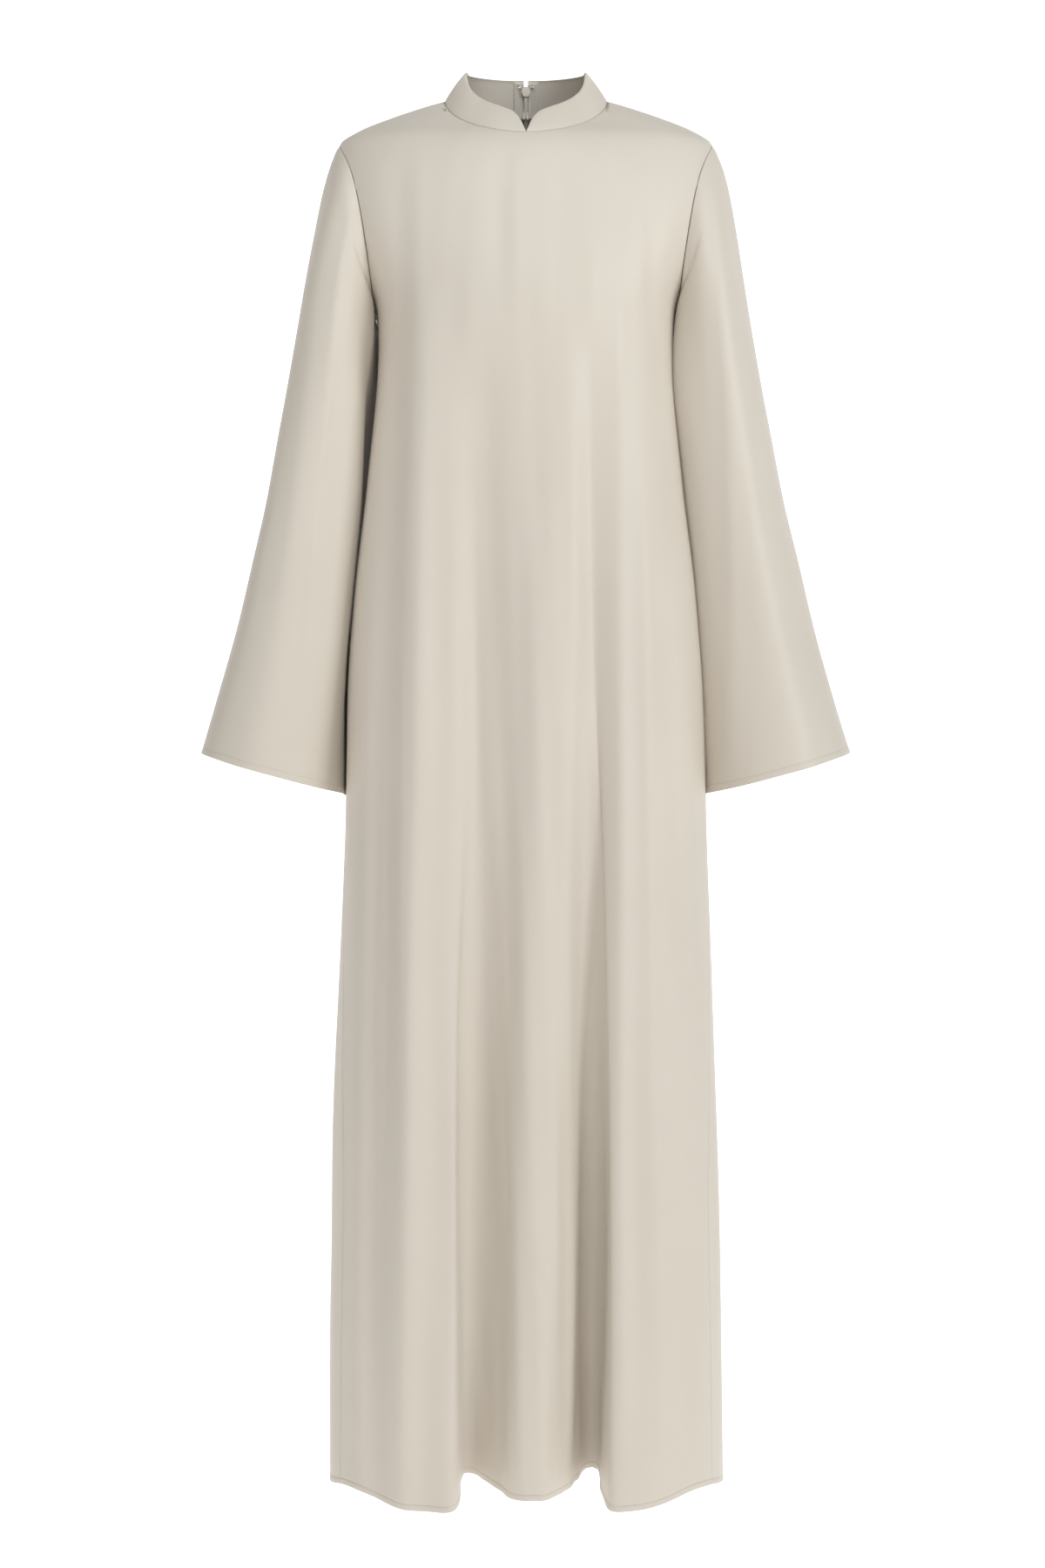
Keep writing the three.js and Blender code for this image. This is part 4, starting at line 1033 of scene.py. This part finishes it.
thread = crepe_paint("thread", THREAD_TINT)
hem_row = -len(HEM_STOPS) + HEM_STOPS.index(HEM_DEEP)
hem_parts = [stitches(front_points[hem_row], front_ways[hem_row], HEM_STITCH_LIFT)]
for hand in (1, -1):
    line, out = (grid[hem_row] for grid in back_grids[hand])
    hem_parts.append(stitches(line, out, HEM_STITCH_LIFT))
joined_piece("hem_stitches", hem_parts, thread)
cuff_parts = []
for hand in (1, -1):
    line, out = (np.concatenate((grid[hem_row], grid[hem_row][:1])) for grid in sleeve_grids[hand])
    cuff_parts.append(stitches(line, out, HEM_STITCH_LIFT))
joined_piece("cuff_stitches", cuff_parts, thread)
front_centre = len(front_points[0]) // 2
neck_columns = slice(front_centre - NECK_COLUMNS + 1, front_centre + NECK_COLUMNS)
neck_line = front_points[NECK_STITCH_ROW, neck_columns]
neck_out = front_ways[NECK_STITCH_ROW, neck_columns]
joined_piece("neck_stitches", [stitches(neck_line, neck_out, NECK_STITCH_LIFT)], thread)

# The concealed zip: two woven tapes sewn inside the centre back, from the collar's top to the waist, with a
# nylon coil between them. Its slider and pull are lacquered zinc, and the hook and eye above it are wire. A
# tape's columns are given by their distance from the centre back.
TAPE_STOPS = np.array([2.4, 3.0, 3.8, 4.6, 6.2, 8.0, 9.8, 11.4, 12.4, 13.0])
# A tape's inner edge is corded, and this is where the cord lies, its width and its height.
TAPE_CORD_AT = 3.4
TAPE_CORD_WIDTH = 0.6
TAPE_CORD = 0.35
TAPE_THICK = 0.6
TAPE_FOOT_Z = -446
CLOTH_TO_TAPE = 0.15
COLUMNS_BY_ZIP = 14
# Rows that a tape leaves out: at the collar's top edge, and at the back's neckline, where the seam rolls in.
COLLAR_ROWS_OUT = 2
NECK_ROWS_OUT = 3
TAPE_TINT = (0.7, 0.64, 0.555)
TAPE_RIB = 0.0009
COIL_TINT = (0.68, 0.61, 0.53)
ZINC_TINT = (0.8, 0.72, 0.62)
WIRE_TINT = (0.8, 0.77, 0.72)


def across_centre(grid, hand, from_end):
    """Points and ways of a grid's rows at the tape's distances from the centre back."""
    points, ways = grid
    if from_end:
        points, ways = points[:, :-COLUMNS_BY_ZIP:-1], ways[:, :-COLUMNS_BY_ZIP:-1]
    rows = [
        [read_at(TAPE_STOPS, hand * line[:, 0], part) for part in (line, out)]
        for line, out in zip(points, ways)
    ]
    return np.array(rows).swapaxes(0, 1)


def tape_grid(hand):
    """One tape's points and ways, from the collar's top to its foot, just inside the cloth."""
    band, band_out = across_centre(collar_grids[hand], hand, True)
    panel, panel_out = across_centre(back_grids[hand], hand, False)
    keep = panel[:, 0, 2] > TAPE_FOOT_Z
    band = band - band_out * (COLLAR_THICK + CLOTH_TO_TAPE)
    panel = panel - panel_out * (SHELL + CLOTH_TO_TAPE)
    from_collar_top = slice(-1 - COLLAR_ROWS_OUT, None, -1)
    points = np.concatenate((band[from_collar_top], panel[keep][NECK_ROWS_OUT:]))
    ways = np.concatenate((band_out[from_collar_top], panel_out[keep][NECK_ROWS_OUT:]))
    cord = TAPE_CORD * np.exp(-(((TAPE_STOPS - TAPE_CORD_AT) / TAPE_CORD_WIDTH) ** 2))
    points = points - ways * cord[None, :, None]
    points[..., 0] = hand * TAPE_STOPS
    return points, ways


# The length in metres of one band of the wave texture at a scale of 1.
WAVE_LENGTH = 0.314
TAPE_DARK = (0.82, 0.82, 0.82)


def woven_paint(name, tint, pitch):
    """Woven tape, with ribs across it at a pitch in metres."""
    paint = Paint(name)
    place = paint.add("ShaderNodeTexCoord", output="Object")
    ribs = paint.add(
        "ShaderNodeTexWave",
        {"bands_direction": "Z"},
        {"Vector": place, "Scale": WAVE_LENGTH / pitch, "Distortion": 1.5, "Detail": 1.0},
        output=1,
    )
    mix = paint.blend(ribs, shade(tint, TAPE_DARK), tint)
    bump = paint.add("ShaderNodeBump", inputs={"Strength": 0.4, "Distance": 0.0002, "Height": ribs})
    paint.set(Base_Color=mix, Normal=bump, Roughness=0.8)
    return paint.material


WEAR_RANGE = 0.16


def smooth_paint(name, tint, roughness, metallic):
    """A plain surface whose roughness varies slightly with handling."""
    paint = Paint(name)
    place = paint.add("ShaderNodeTexCoord", output="Object")
    wear = paint.add("ShaderNodeTexNoise", inputs={"Vector": place, "Scale": 600.0, "Detail": 3.0})
    paint.set(Roughness=wear * WEAR_RANGE + (roughness - WEAR_RANGE / 2))
    paint.set(Base_Color=(*tint, 1), Metallic=metallic)
    return paint.material


tape_paint = woven_paint("zip_tape", TAPE_TINT, TAPE_RIB)
coil_paint = smooth_paint("zip_nylon", COIL_TINT, roughness=0.42, metallic=0.0)
metal_paint = smooth_paint("zip_metal", ZINC_TINT, roughness=0.4, metallic=0.0)
wire_paint = smooth_paint("wire", WIRE_TINT, roughness=0.28, metallic=0.85)
tape_grids = {}
for name, hand in (("zip_tape_left", 1), ("zip_tape_right", -1)):
    tape_grids[hand] = tape_grid(hand)
    tape = shell(name + "_woven", *tape_grids[hand], TAPE_THICK)
    tape.data.materials.append(tape_paint)
    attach(tape, "garment")
    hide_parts(name)

# The coil's loops alternate from side to side and lock in the middle.
LOOP_PITCH = 1.5
LOOP_LENGTH = 3.6
LOOP_WIDTH = 0.62
LOOP_HEIGHT = 1.0
LOOP_OFFSET = 0.8
COIL_TOP_Z = 20
COIL_SINK = 0.35
spine = (tape_grids[1][0][:, 0] + tape_grids[-1][0][:, 0]) / 2
spine_out = (tape_grids[1][1][:, 0] + tape_grids[-1][1][:, 0]) / 2
spine = spine[spine[:, 2] < COIL_TOP_Z]
spine_out = spine_out[-len(spine):]
spine_far = travel(spine)
loops = []
for hand in (1, -1):
    at = np.arange(LOOP_PITCH / 2, spine_far[-1], LOOP_PITCH) + hand * LOOP_PITCH / 4
    at = at[at < spine_far[-1]]
    place = points_along(spine, at)
    out = unit(read_at(at, spine_far, spine_out))
    side = np.tile([float(hand), 0, 0], (len(at), 1))
    place = place + side * LOOP_OFFSET - out * COIL_SINK
    loops.append(beads(place, side, out, LOOP_LENGTH, LOOP_WIDTH, LOOP_HEIGHT))
joined_piece("zip_coil", loops, coil_paint)

# The coil's core, the slider, the pull, the hook and the eye keep their CAD meshes.
kept_nodes = {
    "zip_chain": coil_paint,
    "zip_slider": metal_paint,
    "zip_pull": metal_paint,
    "hook": wire_paint,
    "eye": wire_paint,
}
for name, paint in kept_nodes.items():
    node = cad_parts[name]
    node.data.materials.clear()
    node.data.materials.append(paint)
